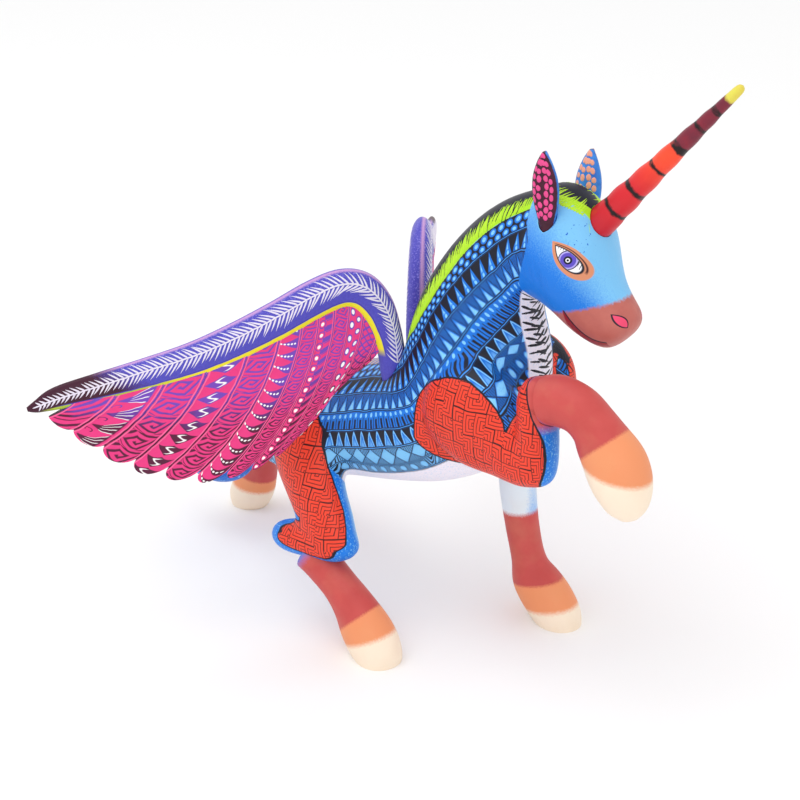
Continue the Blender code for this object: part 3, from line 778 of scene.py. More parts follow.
def drawHatch(paint, p, q, steps):
    leaf = ellipseAt(p, q, 0.0, 0.55, 0.3, 0.42)
    hatch = (steps * 5.0).fraction().below(0.45, 0.15) & leaf.above(1.0, 0.2)
    return hatch | leaf.line(1.0, 0.3, 0.1), leaf.below(0.4, 0.3)


def drawDarkLeaves(paint, p, q, steps):
    leaf = ellipseAt(p, q, 0.0, 0.5, 0.3, 0.42)
    return leaf.above(1.0, 0.2), leaf.below(0.35, 0.3)


bandDrawings = {
    "blobs": drawBlobs, "flames": drawFlames, "peaks": drawPeaks, "comb": drawComb, "arches": drawArches,
    "crosses": drawCrosses, "hatch": drawHatch, "leaves": drawDarkLeaves,
}


def fretMask(paint, across, upward):  # nested angles in square cells, each turned its own way
    cell = 5.4
    across = (across + (paint.noise(14.0, 1.0) - 0.5) * 3.0) / cell
    upward = (upward + (paint.noise(12.0, 1.0) - 0.5) * 3.0) / cell
    column, row = across.floor(), upward.floor()
    a, b = across - column, upward - row
    flipA = paint.speck(column, row, 1.0).above(0.5, 0.01)
    flipB = paint.speck(column, row, 2.0).above(0.5, 0.01)
    a = abs(a - flipA)
    b = abs(b - flipB)
    corner = a | b
    nested = (corner * 3.6).fraction().line(0.5, 0.21, 0.12)
    edge = corner.above(0.965, 0.03)
    return nested | edge


def sprayed(paint, size=0.55, cover=0.62):  # fine droplets
    return paint.noise(size, 2.0, 0.7).above(cover, 0.08)


def eyeColours(paint, colour):
    e = eye
    (centreX, centreZ), (longX, longZ) = e["centre"], e["long"]
    dx, dz = paint.x - centreX, paint.z - centreZ
    along = (dx * longX + dz * longZ) / e["halfLength"]
    above = (dx * -longZ + dz * longX) / e["halfHeight"]
    pointed = abs(above) + along * along
    rounded = (above * above + along * along) ** 0.5
    full = along.above(0.0, 0.5)
    lens = pointed * (1 - full) + rounded * full
    head = paint.x.above(84, 1.0) & paint.z.above(188, 1.0)

    def region(edge, soft=0.05):
        return lens.below(edge, soft) & head

    colour = paint.mix(region(0.98), colour, bodyColours["lid"])
    colour = paint.mix(region(0.8) & lens.above(0.72, 0.05) & above.above(0.1, 0.2), colour,
        bodyColours["brown"])
    colour = paint.mix(region(0.66), colour, bodyColours["ink"])
    colour = paint.mix(region(0.56), colour, bodyColours["eyeWhite"])
    lashes = ((along * 9.0 + above * 2.0).fraction().line(0.5, 0.24, 0.15)) & lens.within(0.4, 0.6, 0.05)
    colour = paint.mix(lashes & above.above(0.05, 0.1), colour, bodyColours["ink"])
    round_ = ellipseAt(dx, dz, -0.3, 0.3, 1.0, 1.0) ** 0.5
    inside = region(0.55)
    for radius, shade in ((4.1, "ink"), (3.7, "irisRim"), (3.1, "iris"), (1.7, "ink"), (0.9, "eyeWhite"),
            (0.5, "ink")):
        colour = paint.mix(round_.below(radius, 0.15) & inside, colour, bodyColours[shade])
    return colour


legColours = {
    "terracotta": srgb(186, 68, 66), "rose": srgb(204, 84, 80), "peach": srgb(232, 146, 100),
    "cream": srgb(244, 226, 204), "blue": srgb(70, 120, 205), "violet": srgb(150, 110, 180),
    "white": srgb(222, 232, 240),
    "wood": srgb(214, 176, 128), "grain": srgb(176, 130, 84),
}


def bodyPaint():
    paint = Paint("painted_body", roughness=0.42)
    tones = bodyColours
    along, band = paint.field("along"), paint.field("band")
    ink, core, thread = bandMasks(paint, along, band)
    mottled = paint.noise(3.0, 3.0)
    ground = paint.mix(mottled.above(0.38, 0.6), tones["deep"], tones["ground"])
    glow = paint.mix(sprayed(paint), tones["core"], tones["haze"])
    ground = paint.mix(core, ground, glow)
    low = band.above(6.0, 0.05) & paint.field("chest").below(0.5, 0.3)
    ground = paint.mix(low * 0.7, ground, tones["sky"])
    banded = paint.mix(ink & (1 - thread), ground, tones["ink"])
    banded = paint.mix(thread * 0.6, banded, tones["haze"])
    # the crest: black with lime brush strokes on its lower side
    strokes = along / 1.2 + band * 1.4
    jag = paint.speck(strokes.floor(), 3.0, 0.0) * 0.24
    lime = (band + jag).above(0.74, 0.04) & (abs(strokes.fraction() - 0.5) + (1 - band) * 0.5).below(0.5, 0.1)
    mane = paint.mix(lime | band.above(0.82, 0.04), tones["ink"], tones["lime"])
    barrel = paint.field("barrel")
    stripe = paint.mix((along / 3.0).fraction().below(0.5, 0.1), tones["ochre"], tones["deep"])
    crest = paint.mix(barrel.above(0.5, 0.2), mane, stripe)
    colour = paint.mix(band.below(1.0, 0.03), banded, crest)
    # pale belly and throat
    chalky = paint.mix(sprayed(paint, 0.8, 0.6) * 0.4, tones["white"], tones["sky"])
    pale = paint.field("pale")
    colour = paint.mix(pale.above(0.0, 1.0), colour, chalky)
    # limbs outside the patches are sprayed blue
    stipple = paint.mix(sprayed(paint, 0.9, 0.6) * 0.8, tones["ground"], tones["sky"])
    stipple = paint.mix(paint.field("pastel"), stipple, paint.mix(sprayed(paint), tones["sky"],
        tones["white"]))
    colour = paint.mix(paint.field("limb").above(0.5, 0.1), colour, stipple)
    warm = paint.mix(paint.noise(9.0, 2.0), legColours["terracotta"], legColours["rose"])
    fade = paint.field("warm") + (paint.noise(0.7, 3.0, 0.7) - 0.5) * 3.0
    colour = paint.mix(fade.above(0.0, 5.0), colour, warm)
    # orange patches with frets
    patch = paint.field("patch")
    fret = fretMask(paint, paint.field("fretAcross"), paint.field("fretUp"))
    orange = paint.mix(mottled, tones["orange"], srgb(232, 60, 40))
    orange = paint.mix(fret, orange, tones["orangeInk"])
    edge = patch + (paint.noise(5.0, 1.0) - 0.5) * 0.6
    colour = paint.mix(edge.above(-0.35, 0.15), colour, tones["ink"])
    colour = paint.mix(edge.above(0.35, 0.15), colour, orange)
    # head: a sky-blue painted highlight on the faces turned up and forward, over the deeper blue of the
    # cheeks, and a dusty muzzle
    headMask = paint.field("head") + (paint.noise(3.0, 2.0) - 0.5) * 0.8
    # painted highlight: sky blue where the face turns up and forward, the cheeks stay the deeper blue
    facing = paint.field("faceLight") + (paint.noise(0.6, 2.0) - 0.5) * 0.7
    face = paint.mix(facing.above(0.5, 0.8), tones["ground"], tones["sky"])
    freckles = paint.noise(1.3, 1.0).above(0.7, 0.04) & paint.field("brow").above(0.0, 1.0)
    face = paint.mix(freckles, face, tones["deep"])
    muzzle = paint.field("muzzle") + (paint.noise(1.2, 3.0) - 0.5) * 2.4
    dusty = paint.mix(paint.noise(5.0, 3.0), tones["muzzle"], srgb(196, 112, 100))
    face = paint.mix(muzzle.above(0.0, 1.6), face, dusty)
    back = ((mouth["front"] - paint.x) / mouth["length"]) | 0.0
    curl = back ** mouth["curl"] * mouth["rise"] + mouth["low"]
    steep = back ** (mouth["curl"] - 1) * (mouth["rise"] * mouth["curl"] / mouth["length"]) * 0.8 + 1.0
    under = (paint.z - curl) / steep
    lips = paint.x.within(mouth["front"] - mouth["length"] - 0.4, mouth["front"] + 2,
        0.4) & paint.z.below(181, 0.4)
    face = paint.mix(under.within(-2.5, 0.5, 0.2) & lips, face, tones["lip"])
    face = paint.mix(under.within(0.1, 0.75, 0.15) & lips, face, tones["ink"])
    sidewards = abs(paint.y) - nostril["aside"]
    length = (paint.z - nostril["height"]) * 0.82 + sidewards * 0.57
    across = sidewards * 0.82 - (paint.z - nostril["height"]) * 0.57
    nose = (length / nostril["long"]) ** 2 + abs(across / nostril["wide"])
    ahead = paint.x.above(112, 0.5)
    face = paint.mix(nose.below(1.3, 0.1) & ahead, face, tones["ink"])
    face = paint.mix(nose.below(0.95, 0.1) & ahead, face, tones["nostril"])
    face = eyeColours(paint, face)
    forelock = paint.field("forelock")
    face = paint.mix(forelock.above(0.0, 0.6), face, mane)
    colour = paint.mix(headMask.above(0.0, 0.5), colour, face)
    return paint.finish(colour, ink, -0.05)


def smoothStep(values, start, finish):
    share = np.clip((values - start) / (finish - start), 0, 1)
    return share * share * (3 - 2 * share)


def markBody(body):
    points, normals = spots(body), facings(body)
    x, y, z = points.T
    flat, aside = points[:, [0, 2]], np.abs(y)
    along, arc, radius, belly = torsoPlaces(points)
    band = bandPlace(along, arc)
    note(body, "along", along)
    note(body, "band", band)
    note(body, "barrel", 1 - smoothStep(along, 92, 118))
    note(body, "chest", smoothStep(x, 38, 56))
    chest = (x > 20) & (y < 0) & (x < 96) & (z > 96) | (x > 20) & (y > 0) & (z > 120)
    limb = np.where(chest, 0, smoothStep(radius, 1.12, 1.28))
    note(body, "limb", limb)
    note(body, "warm", np.where((y < 0) & (x > 94), np.minimum(x - 95, z - 137), -20))
    neckPale = 9.8 - belly - 30 * (1 - smoothStep(z, 122, 132))
    barrelPale = np.where(z < 120, (band - 8.1) * 8, -9)
    inner = np.where((aside < 26) & (z < 100) & (limb > 0.5), -normals[:, 1] * np.sign(y) * 8, -9)
    note(body, "pale", np.maximum(np.maximum(neckPale, barrelPale), inner))
    note(body, "pastel", smoothStep(-normals[:, 1] * np.sign(y), 0.1, 0.7))
    right = y < 0
    outward = normals[:, 1] * np.sign(y)
    turned = np.minimum((aside - 9) * 0.8, (outward + 0.25) * 12)
    patch = np.full(len(points), -20.0)
    for outline, mask in (
        (shoulderOutline, right & (x > 20)), (leftShoulderOutline, ~right & (x > 20)),
        (thighOutline, right & (x < 20)), (leftThighOutline, ~right & (x < 20)),
    ):
        patch[mask] = outlineDistance(flat[mask], outline)
    hind = x < 20
    edgeHeights, edgeWidths = zip(*thighInnerEdge)
    innerEdge = np.interp(z, edgeHeights, edgeWidths)
    patch = np.where(hind & right, np.minimum(patch, aside - innerEdge), patch)
    patch = np.where(hind & ~right, np.minimum(patch, aside - 27), patch)
    note(body, "patch", np.minimum(patch, turned))
    front = smoothStep(np.abs(normals[:, 0]), 0.5, 0.9) * np.sign(normals[:, 0])
    top = smoothStep(np.abs(normals[:, 2]), 0.6, 0.95) * np.sign(normals[:, 2])
    note(body, "fretAcross", x + front * (45 - aside) * 0.7)
    note(body, "fretUp", z + top * (45 - aside) * 0.7)
    # head
    nape = np.interp(z, (176, 180, 186, 192, 200, 208, 214, 220, 232), (77, 74, 73, 75, 78, 80, 78, 77, 76))
    chin = (x - 79) * 0.8 + (z - 178) * 0.9
    head = np.minimum(x - nape, np.where(z < 190, chin, 9))
    note(body, "head", np.where(z > 155, head, -9.0))
    # painted highlight: the face is lighter where it turns up and forward, and higher on the head
    paintedHighlight = smoothStep(normals[:, 2] * 0.6 + normals[:, 0] * 0.5 + (z - 200) * 0.012, -0.25, 0.75)
    note(body, "faceLight", paintedHighlight)
    note(body, "brow", 6 - np.hypot(x - 103, z - 213))
    muzzle = (x - 97) * 0.3 + (179.8 - z) * 0.9
    note(body, "muzzle", np.where(z < 176, np.maximum(muzzle, (x - 93) * 0.9), muzzle))
    crown = np.minimum(9.5 - aside - np.abs(x - 92) * 0.25, np.minimum(x - 76, 107 - x))
    note(body, "forelock", np.where(z > 215, crown, -9))


def makeBody():
    rings = [profileRings(block["torso"], 6, 64), profileRings(block["head"], 6, 64)]
    rings += [limbRings(stations, 6, 48) for stations in block["limbs"].values()]
    body = objectFrom("carved_body", *together([shell(each) for each in rings]))
    carve = body.modifiers.new("carve", "REMESH")
    carve.mode = "VOXEL"
    carve.voxel_size = block["voxel"] * mm * 1
    soften = body.modifiers.new("soften", "SMOOTH")
    soften.factor = 0.5
    soften.iterations = block["softening"] // 1
    bake(body)
    seats, holes = socketShells()
    cutAway(body, seats)
    cutAway(body, holes)
    finishMesh(body.data, 50)
    markBody(body)
    addPiece(body, "figure", bodyPaint())
    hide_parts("body")
    return body


carvedBody = makeBody()
say(f"body with {len(carvedBody.data.polygons)} faces")


def barePaint():
    paint = Paint("bare_copal", roughness=0.72)
    stretch = paint.node("ShaderNodeMapping", None, {"Vector": paint.place, "Scale": (1.0, 1.0, 0.12)},
        "Vector")
    rings = paint.noise(1.6, 3.0, 0.6, stretch)
    return paint.finish(paint.mix(rings, legColours["wood"], legColours["grain"]), rings, 0.1)


def legPaint(name):
    paint = Paint(name + "_leg_paint", roughness=0.5)
    tones = legColours
    soft = (paint.noise(0.7, 3.0, 0.7) - 0.5) * 3.2
    shade = paint.noise(9.0, 2.0)
    colour = paint.mix(shade, tones["terracotta"], tones["rose"])
    top = tones["white"] if name == "left_fore" else tones["blue"]
    if name == "left_fore":
        colour = paint.mix((soft + paint.field("blueEnd")).below(0, 2.4), colour, paint.mix(
            (paint.x + soft).above(53, 3.0), top, bodyColours["haze"]))
    else:
        fade = soft * 1.2 + paint.field("blueEnd")
        colour = paint.mix(fade.below(2.2, 4.0), colour, tones["violet"])
        colour = paint.mix(fade.below(0.4, 2.6), colour, top)
    colour = paint.mix((soft * 0.6 + paint.field("peachStart")).above(0, 1.6), colour, tones["peach"])
    colour = paint.mix((soft * 0.9 + paint.field("creamStart")).above(0, 2.6), colour, tones["cream"])
    worn = paint.noise(14.0, 3.0).above(0.62, 0.3) * 0.12
    return paint.finish(paint.mix(worn, colour, tones["wood"]))


def makeLeg(name):
    stations = legs[name]
    planted = stations[-1][2] < 0
    points, faces = shell(limbRings(stations, 9, 56))
    leg = objectFrom(name + "_lower_leg", points, faces)
    if planted:  # cut flat where it stands
        shape = bmesh.new()
        shape.from_mesh(leg.data)
        everything = [*shape.verts, *shape.edges, *shape.faces]
        cut = bmesh.ops.bisect_plane(
            shape, geom=everything, plane_co=(0, 0, datum[2] * mm), plane_no=(0, 0, -1), clear_outer=True
        )
        rim = [item for item in cut["geom_cut"] if isinstance(item, bmesh.types.BMEdge)]
        bmesh.ops.contextual_create(shape, geom=rim)
        shape.to_mesh(leg.data)
        shape.free()
    joint, down = legJoint(name)
    reach = down * (legs["dowelLength"] / 2 + glueGap)
    cutAway(leg, [shell(rodRings(joint - reach, joint + reach, legs["dowelRadius"] + glueGap))])
    finishMesh(leg.data)
    places = spots(leg)
    for mark, table in (("blueEnd", "blueEnds"), ("peachStart", "peachStarts"),
            ("creamStart", "creamStarts")):
        point, direction = legs[table][name]
        note(leg, mark, (places - point) @ unit(direction))
    addPiece(leg, "figure", legPaint(name))
    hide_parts(name + "_leg")


wood = barePaint()
for legName in ("right_fore", "left_fore", "right_hind", "left_hind"):
    makeLeg(legName)
    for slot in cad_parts[legName + "_dowel"].material_slots:
        slot.material = wood
say("lower legs")


def barePeg(name, body, rings):
    peg = objectFrom(name, *shell(rings))
    return addPiece(peg, body, wood)


def pegRings(foot, pull, peg, sunk=1.0):
    radius, length = peg
    foot = np.array(foot, float)
    return rodRings(foot - pull * sunk, foot - pull * length, radius, 32)


hornColours = {
    "root": srgb(196, 30, 44), "red": srgb(214, 36, 44), "scarlet": srgb(246, 76, 44),
    "maroon": srgb(104, 34, 54),
    "tip": srgb(222, 214, 84),
    "ring": srgb(26, 8, 12),
}


hornRings = ((0.12, 0.024), (0.27, 0.028), (0.435, 0.02), (0.59, 0.04), (0.735, 0.02), (0.85, 0.024))


def hornPaint():
    paint = Paint("horn_paint", roughness=0.4)
    tones = hornColours
    share = paint.field("share") + (paint.noise(2.5, 2.0) - 0.5) * 0.02
    colour = paint.ramp(share, [
        (0.0, tones["root"]), (0.3, tones["red"]), (0.5, tones["scarlet"]), (0.57, tones["scarlet"]),
        (0.6, tones["maroon"]), (0.925, tones["maroon"]), (0.94, tones["tip"]), (1.0, tones["tip"]),
    ])
    colour = paint.mix((paint.noise(6.0, 2.0) - 0.3) * 0.5, colour, tones["root"])
    slanted = share + paint.field("turn") * 0.014
    rings = None
    for place, width in hornRings:
        ringMask = slanted.line(place, width, 0.01)
        rings = ringMask if rings is None else rings | ringMask
    broken = paint.noise(5.0, 2.0).above(0.36, 0.2)
    colour = paint.mix(rings & (broken | 0.55), colour, tones["ring"])
    return paint.finish(colour, rings, -0.1)


def makeHorn():
    rows = eased(hornRows(), 6)
    foot, pull = np.array(plugs["hornFoot"]), plugs["hornPull"]
    share = ((rows[:, :3] - foot) @ pull) / plugs["hornLength"]
    necks = [place for place, width in hornRings]
    waves = np.interp(share, (0, *necks, 1), np.arange(len(necks) + 2))
    swell = 1 - 0.045 * np.cos(waves * 2 * np.pi) * smoothStep(share, 0.02,
        0.12) * (1 - smoothStep(share, 0.85, 0.95))
    rows[:, 3:] *= swell[:, None]
    horn = objectFrom("painted_horn", *shell(limbRings(rows, 1, 48)))
    places = spots(horn)
    note(horn, "share", ((places - foot) @ pull) / plugs["hornLength"])
    note(horn, "turn", (places[:, 1]) / plugs["hornBase"])
    addPiece(horn, "horn", hornPaint())
    barePeg("horn_peg", "horn", pegRings(foot, pull, plugs["hornPeg"], 2.0))
    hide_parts("horn")


makeHorn()
say("horn")

earColours = {
    "maroon": srgb(84, 12, 44), "blue": srgb(36, 84, 190), "pinkDot": srgb(240, 84, 150),
    "peachDot": srgb(240, 176, 150),
    "rim": srgb(30, 12, 30),
}


def earPaint():
    paint = Paint("ear_paint", roughness=0.45)
    outer = paint.field("outer") + (paint.noise(1.2, 2.0) - 0.5) * 0.3
    tones = earColours
    red = paint.mix(paint.noise(4.0, 2.0), tones["maroon"], tones["rim"])
    blue = paint.mix(paint.noise(2.0, 2.0), tones["blue"], bodyColours["haze"])
    return paint.finish(paint.mix(outer.above(0.0, 0.3), blue, red))


def makeEar(sideName, side):
    foot, pull, rows = earRows(side)
    ear = objectFrom(sideName + "_painted_ear", *shell(limbRings(rows, 8, 48)))
    places, normals = spots(ear), facings(ear)
    share = ((places - foot) @ pull) / plugs["earLength"]
    hollow = np.exp(-(((places[:, 0] - foot[0] - 0.5) / 3.0) ** 2)) * np.clip(normals[:, 1] * side, 0, 1)
    scoop = smoothStep(share, 0.12, 0.4) * (1 - smoothStep(share, 0.6, 0.95)) * hollow
    moved = (places - normals * scoop[:, None] * 1.1 + datum) * mm
    ear.data.vertices.foreach_set("co", moved.astype(np.float32).ravel())
    ear.data.update()
    note(ear, "outer", normals[:, 1] * side * 0.9 - normals[:, 0] * 0.55 + 0.2)
    addPiece(ear, sideName + "_ear", earPaint())
    barePeg(sideName + "_ear_peg", sideName + "_ear", pegRings(foot, pull, plugs["earPeg"], 4.8))
    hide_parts(sideName + "_ear")
    return ear


ears = {name: makeEar(name, side) for name, side in sides.items()}
say("ears")


def tailPaint():
    paint = Paint("tail_paint", roughness=0.42)
    stroke = paint.field("round") + paint.noise(12.0, 2.0) * 1.2
    hairs = (stroke * 7.0).fraction().line(0.5, 0.3, 0.25) & paint.noise(5.0, 2.0).above(0.5, 0.1)
    light = (stroke * 5.0 + 0.4).fraction().line(0.5, 0.16, 0.15) & paint.noise(4.0, 2.0).above(0.55, 0.1)
    colour = paint.mix(paint.noise(3.0, 3.0), bodyColours["ground"], srgb(12, 84, 176))
    colour = paint.mix(hairs, colour, bodyColours["deep"])
    colour = paint.mix(light, colour, bodyColours["core"])
    return paint.finish(colour, hairs, -0.15)


def makeTail():
    rings = limbRings(plugs["tail"], 9, 48)
    tail = objectFrom("painted_tail", *shell(rings))
    turns = np.concatenate([np.tile(np.abs(np.arange(48) / 24 - 1), len(rings)), [0.5, 0.5]])
    note(tail, "round", turns * 2)
    addPiece(tail, "tail", tailPaint())
    barePeg("tail_peg", "tail", pegRings(plugs["tail"][1][:3], plugs["tailPull"], plugs["tailPeg"]))
    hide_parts("tail")


makeTail()
say("tail")


wingColours = {
    "violet": srgb(88, 86, 196), "deepViolet": srgb(66, 58, 168), "lilac": srgb(196, 150, 206),
    "spray": srgb(136, 128, 220),
    "tip": srgb(62, 14, 40),
    "yellow": srgb(238, 226, 40), "lime": srgb(170, 190, 60), "pink": srgb(236, 60, 134),
    "rose": srgb(248, 110, 160),
    "inkNear": srgb(96, 70, 186), "inkFar": srgb(52, 8, 40), "white": srgb(250, 246, 246),
}


def armPaint():
    paint = Paint("wing_arm_paint", roughness=0.42)
    tones = wingColours
    reach, rim = paint.field("reach"), paint.field("rim")
    grainy = (paint.noise(0.5, 2.0) - 0.5) * 0.5
    colour = paint.mix(paint.noise(0.9, 3.0), tones["deepViolet"], tones["violet"])
    colour = paint.mix(sprayed(paint, 0.7, 0.6) * rim.above(0.5, 0.8), colour, tones["spray"])
    lilac = (paint.field("outer") + grainy * 0.5).above(0.08, 0.2) & (rim + grainy * 0.2).above(0.93, 0.08)
    colour = paint.mix(lilac, colour, tones["lilac"])
    colour = paint.mix((reach + grainy * 24 - rim * 8).above(120, 14.0), colour, tones["tip"])
    edge = rim + (paint.noise(5.0, 1.0) - 0.5) * 0.06
    stripe = edge.within(-1.25, -0.6, 0.03) & reach.above(1.9, 0.8) & reach.below(156, 6.0)
    dark = edge.within(-1.25, -0.52, 0.03) & reach.above(1.9, 0.8)
    colour = paint.mix(dark & reach.below(150, 6.0), colour, tones["deepViolet"])
    yellow = paint.mix((reach + grainy * 10).above(105, 30.0), tones["yellow"], tones["lime"])
    return paint.finish(paint.mix(stripe, colour, yellow), stripe, 0.1)


def spiralMask(paint, p, q, turns=2.2):  # an angular spiral on a diamond
    a, b = p * 0.94 + q * 0.34, q * 0.94 - p * 0.34
    size = (abs(a) | abs(b)) * 2.0
    angle = paint.node("ShaderNodeMath", {"operation": "ARCTAN2"}, {0: b, 1: a}) / (2 * math.pi)
    coil = (size * turns + angle).fraction()
    return coil.line(0.5, 0.42, 0.12) & size.below(0.98, 0.04), size


def drawSpiral(paint, p, steps):
    q = steps.fraction() - 0.5
    coil, size = spiralMask(paint, p, q)
    hatch = ((steps - p * 0.5) * 6.0).fraction().below(0.5, 0.15) & size.above(1.06, 0.05)
    return coil | hatch, size * 0.0


def drawStripes(paint, p, steps):
    slant = steps + p * 0.9
    return (slant * 2.0).fraction().below(0.5, 0.12) & (slant * 0.5).fraction().below(0.8, 0.05), p * 0.0


def drawLeaves(paint, p, steps):
    q = (steps + p * 0.35).fraction() - 0.5
    width = (p + 0.42) * 0.62
    leaf = (abs(q) - width).below(0.0, 0.04) & p.within(-0.36, 0.34, 0.04)
    vein = ((q / (width | 0.02)) * 1.6).fraction().line(0.5, 0.2, 0.1) & p.within(-0.12, 0.28, 0.04)
    ringMask = ellipseAt(p, q, -0.3, 0.42, 0.1, 0.12).line(1.0, 0.6, 0.2)
    return leaf | ringMask, vein & leaf


def drawDottedLeaves(paint, p, steps):
    q = (steps - p * 0.75).fraction() - 0.5
    width = (p + 0.4) * 0.6
    leaf = (abs(q) - width).below(0.0, 0.04) & p.within(-0.34, 0.4, 0.04)
    beads = (p * 6.5).fraction() - 0.5
    dots = ellipseAt(beads, q, 0.0, 0.02, 0.34, 0.075).below(1.0, 0.3) & p.within(-0.42, 0.3, 0.03)
    return leaf, dots


def drawDiamonds(paint, p, steps):
    q = steps.fraction() - 0.5
    diamond = (abs(p) * 1.1 + abs(q)).below(0.44, 0.03)
    wave = paint.node("ShaderNodeMath", {"operation": "SINE"}, {0: q * 11.0}) * 0.12
    letterless = (p - wave).line(0.0, 0.09, 0.04) & abs(q).below(0.3, 0.03)
    return diamond, letterless


def drawWingComb(paint, p, steps):
    q = steps.fraction() - 0.5
    bar = abs(q).above(0.3, 0.04) & p.within(-0.08, 0.4, 0.04)
    slits = (steps * 4.0).fraction().below(0.35, 0.1) & p.within(0.05, 0.38, 0.03)
    ringMask = ellipseAt(p, q, -0.2, 0.0, 0.2, 0.34)
    dot = ellipseAt(p, q, -0.2, 0.0, 0.1, 0.17).below(1.0, 0.3)
    return bar | (slits & abs(q).above(0.12, 0.05)) | ringMask.line(1.0, 0.5, 0.2), dot


def drawOvals(paint, p, steps):
    one, two = steps.fraction() - 0.5, (steps + 0.5).fraction() - 0.5
    near = ellipseAt(p, one, -0.2, 0.0, 0.11, 0.2) & ellipseAt(p, two, 0.22, 0.0, 0.1, 0.17)
    return near.below(2.6, 0.3), near.below(1.0, 0.3)


def drawNet(paint, p, steps):
    a, b = (steps * 2.0 + p * 2.2).fraction(), (steps * 2.0 - p * 2.2).fraction()
    return a.line(0.5, 0.3, 0.1) | b.line(0.5, 0.24, 0.1), p * 0.0


featherDrawings = [  # drawing, cells for each width that the feather runs, feathers that carry it
    (drawStripes, 1.3, (0,)), (drawLeaves, 1.5, (1,)), (drawSpiral, 1.35, (2, 4, 6, 8)),
    (drawDiamonds, 1.7, (3,)),
    (drawDottedLeaves, 1.5, (5,)), (drawWingComb, 1.6, (7,)), (drawOvals, 1.4, (9,)),
    (drawNet, 1.2, (10, 11)),
]


def fanPaint():
    paint = Paint("feather_paint", roughness=0.42)
    tones = wingColours
    feather, across, down, reach = (paint.field(name) for name in ("feather", "across", "down", "reach"))
    across = across + (paint.noise(6.0, 2.0) - 0.5) * 0.08
    wobble = down + (paint.noise(8.0, 2.0) - 0.5) * 0.16
    ink, white = None, None
    for drawing, cell, carriers in featherDrawings:
        dark, light = drawing(paint, across, wobble * cell)
        here = None
        for number in carriers:
            this = abs(feather - number).below(0.5, 0.02)
            here = this if here is None else here | this
        ink = (dark & here) if ink is None else ink | (dark & here)
        white = (light & here) if white is None else white | (light & here)
    wide = abs(across)
    ink = ink & wide.below(0.4, 0.02)
    ground = paint.mix(paint.noise(2.6, 3.0), tones["pink"], srgb(226, 50, 124))
    ground = paint.mix(wide.line(0.43, 0.035, 0.02), ground, tones["rose"])
    shade = (reach + (paint.noise(4.0, 2.0) - 0.5) * 0.2).above(0.5, 0.3)
    inkTone = paint.mix(shade, tones["inkNear"], tones["inkFar"])
    colour = paint.mix(ink * 0.92, ground, inkTone)
    colour = paint.mix(white & wide.below(0.42, 0.02), colour, tones["white"])
    colour = paint.mix(wide.above(0.462, 0.02), colour, inkTone)
    return paint.finish(colour, ink, -0.08)


featherRows = np.array(wing["feathers"], float)
featherTable = eased(featherRows, 20)


def featherAt(number):  # leaving point and tip of any line down the fan
    last = len(featherRows) - 1
    if number < 0:
        return featherRows[0] + (featherRows[1] - featherRows[0]) * number
    if number > last:
        return featherRows[last] + (featherRows[last] - featherRows[last - 1]) * (number - last)
    grid = np.arange(len(featherTable)) / 20
    return np.array([np.interp(number, grid, featherTable[:, column]) for column in range(4)])


def featherLine(number, shares):  # a line down the fan in the wing's plane
    row = featherAt(number)
    leaves, tip = row[:2], row[2:]
    bend = (leaves + tip) / 2 + np.array(wing["sag"]) * (np.linalg.norm(tip - leaves) / wing["sagLength"])
    t = shares[:, None]
    return leaves * (1 - t) ** 2 + bend * (2 * t * (1 - t)) + tip * t**2


paceShares = np.linspace(0, 1, 41)
paces = []  # how many of its own widths each feather has run, so that its painted cells stay square
for featherNumber in range(len(featherRows)):
    middleLine = featherLine(featherNumber, paceShares)
    edges = [featherLine(featherNumber + half, paceShares) for half in (-0.5, 0.5)]
    stride = np.linalg.norm(np.diff(middleLine, axis=0), axis=1)
    ahead = np.diff(middleLine, axis=0) / stride[:, None]
    spread = ((edges[0] + edges[1] * -1)[:-1])
    widths = np.abs(spread[:, 0] * ahead[:, 1] - spread[:, 1] * ahead[:, 0])
    paces.append(np.concatenate([[0], np.cumsum(stride / np.maximum(widths, 8.5))]))


def makeFan(sideName, side):
    columns, rows = 22, 60
    _, _, facing, _ = wingFrame(side)
    shares = np.linspace(0, 1, rows + 1) ** 0.9
    front, back, marks = [], [], []
    for number in range(len(featherRows)):
        for w in np.linspace(-0.488, 0.488, columns + 1):
            if number == len(featherRows) - 1 and w > 0.02:
                continue
            kept = 1 - wing["notch"] * 1.5 * (1 - math.sqrt(max(0, 1 - (2 * w) ** 2)))
            line = featherLine(number + w, shares * kept)
            half = wing["fanHalf"] * (1 - 0.45 * shares) * (1 - 0.8 * shares**14)
            relief = (0.45 * math.cos(math.pi * w) + 0.9 * w) * np.minimum(1,
                shares * 6) * (1 - 0.6 * shares**8)
            middle = onWing(side, line[:, 0], line[:, 1])
            front.append(middle + np.outer(half + relief, facing))
            back.append(middle - np.outer(half + relief, facing))
            steps = np.interp(shares, paceShares, paces[number])
            marks.append(np.stack([np.full(rows + 1, number), np.full(rows + 1, w), steps, shares], 1))
    wide, tall = len(front), rows + 1
    points = np.vstack([np.vstack(front), np.vstack(back)])
    behind = wide * tall
    faces = []
    for column in range(wide - 1):
        for level in range(rows):
            a = column * tall + level
            faces.append((a, a + tall, a + tall + 1, a + 1))
            faces.append(tuple(corner + behind for corner in (a, a + 1, a + tall + 1, a + tall)))
        for a in (column * tall, column * tall + rows):
            faces.append((a, a + tall, a + tall + behind, a + behind))
    for column in (0, wide - 1):
        for level in range(rows):
            a = column * tall + level
            faces.append((a, a + 1, a + 1 + behind, a + behind))
    fan = objectFrom(sideName + "_wing_feathers", points, faces, 35)
    marks = np.vstack([np.vstack(marks)] * 2)
    for column, name in enumerate(("feather", "across", "down", "reach")):
        note(fan, name, marks[:, column])
    return addPiece(fan, sideName + "_wing", featherPaint)


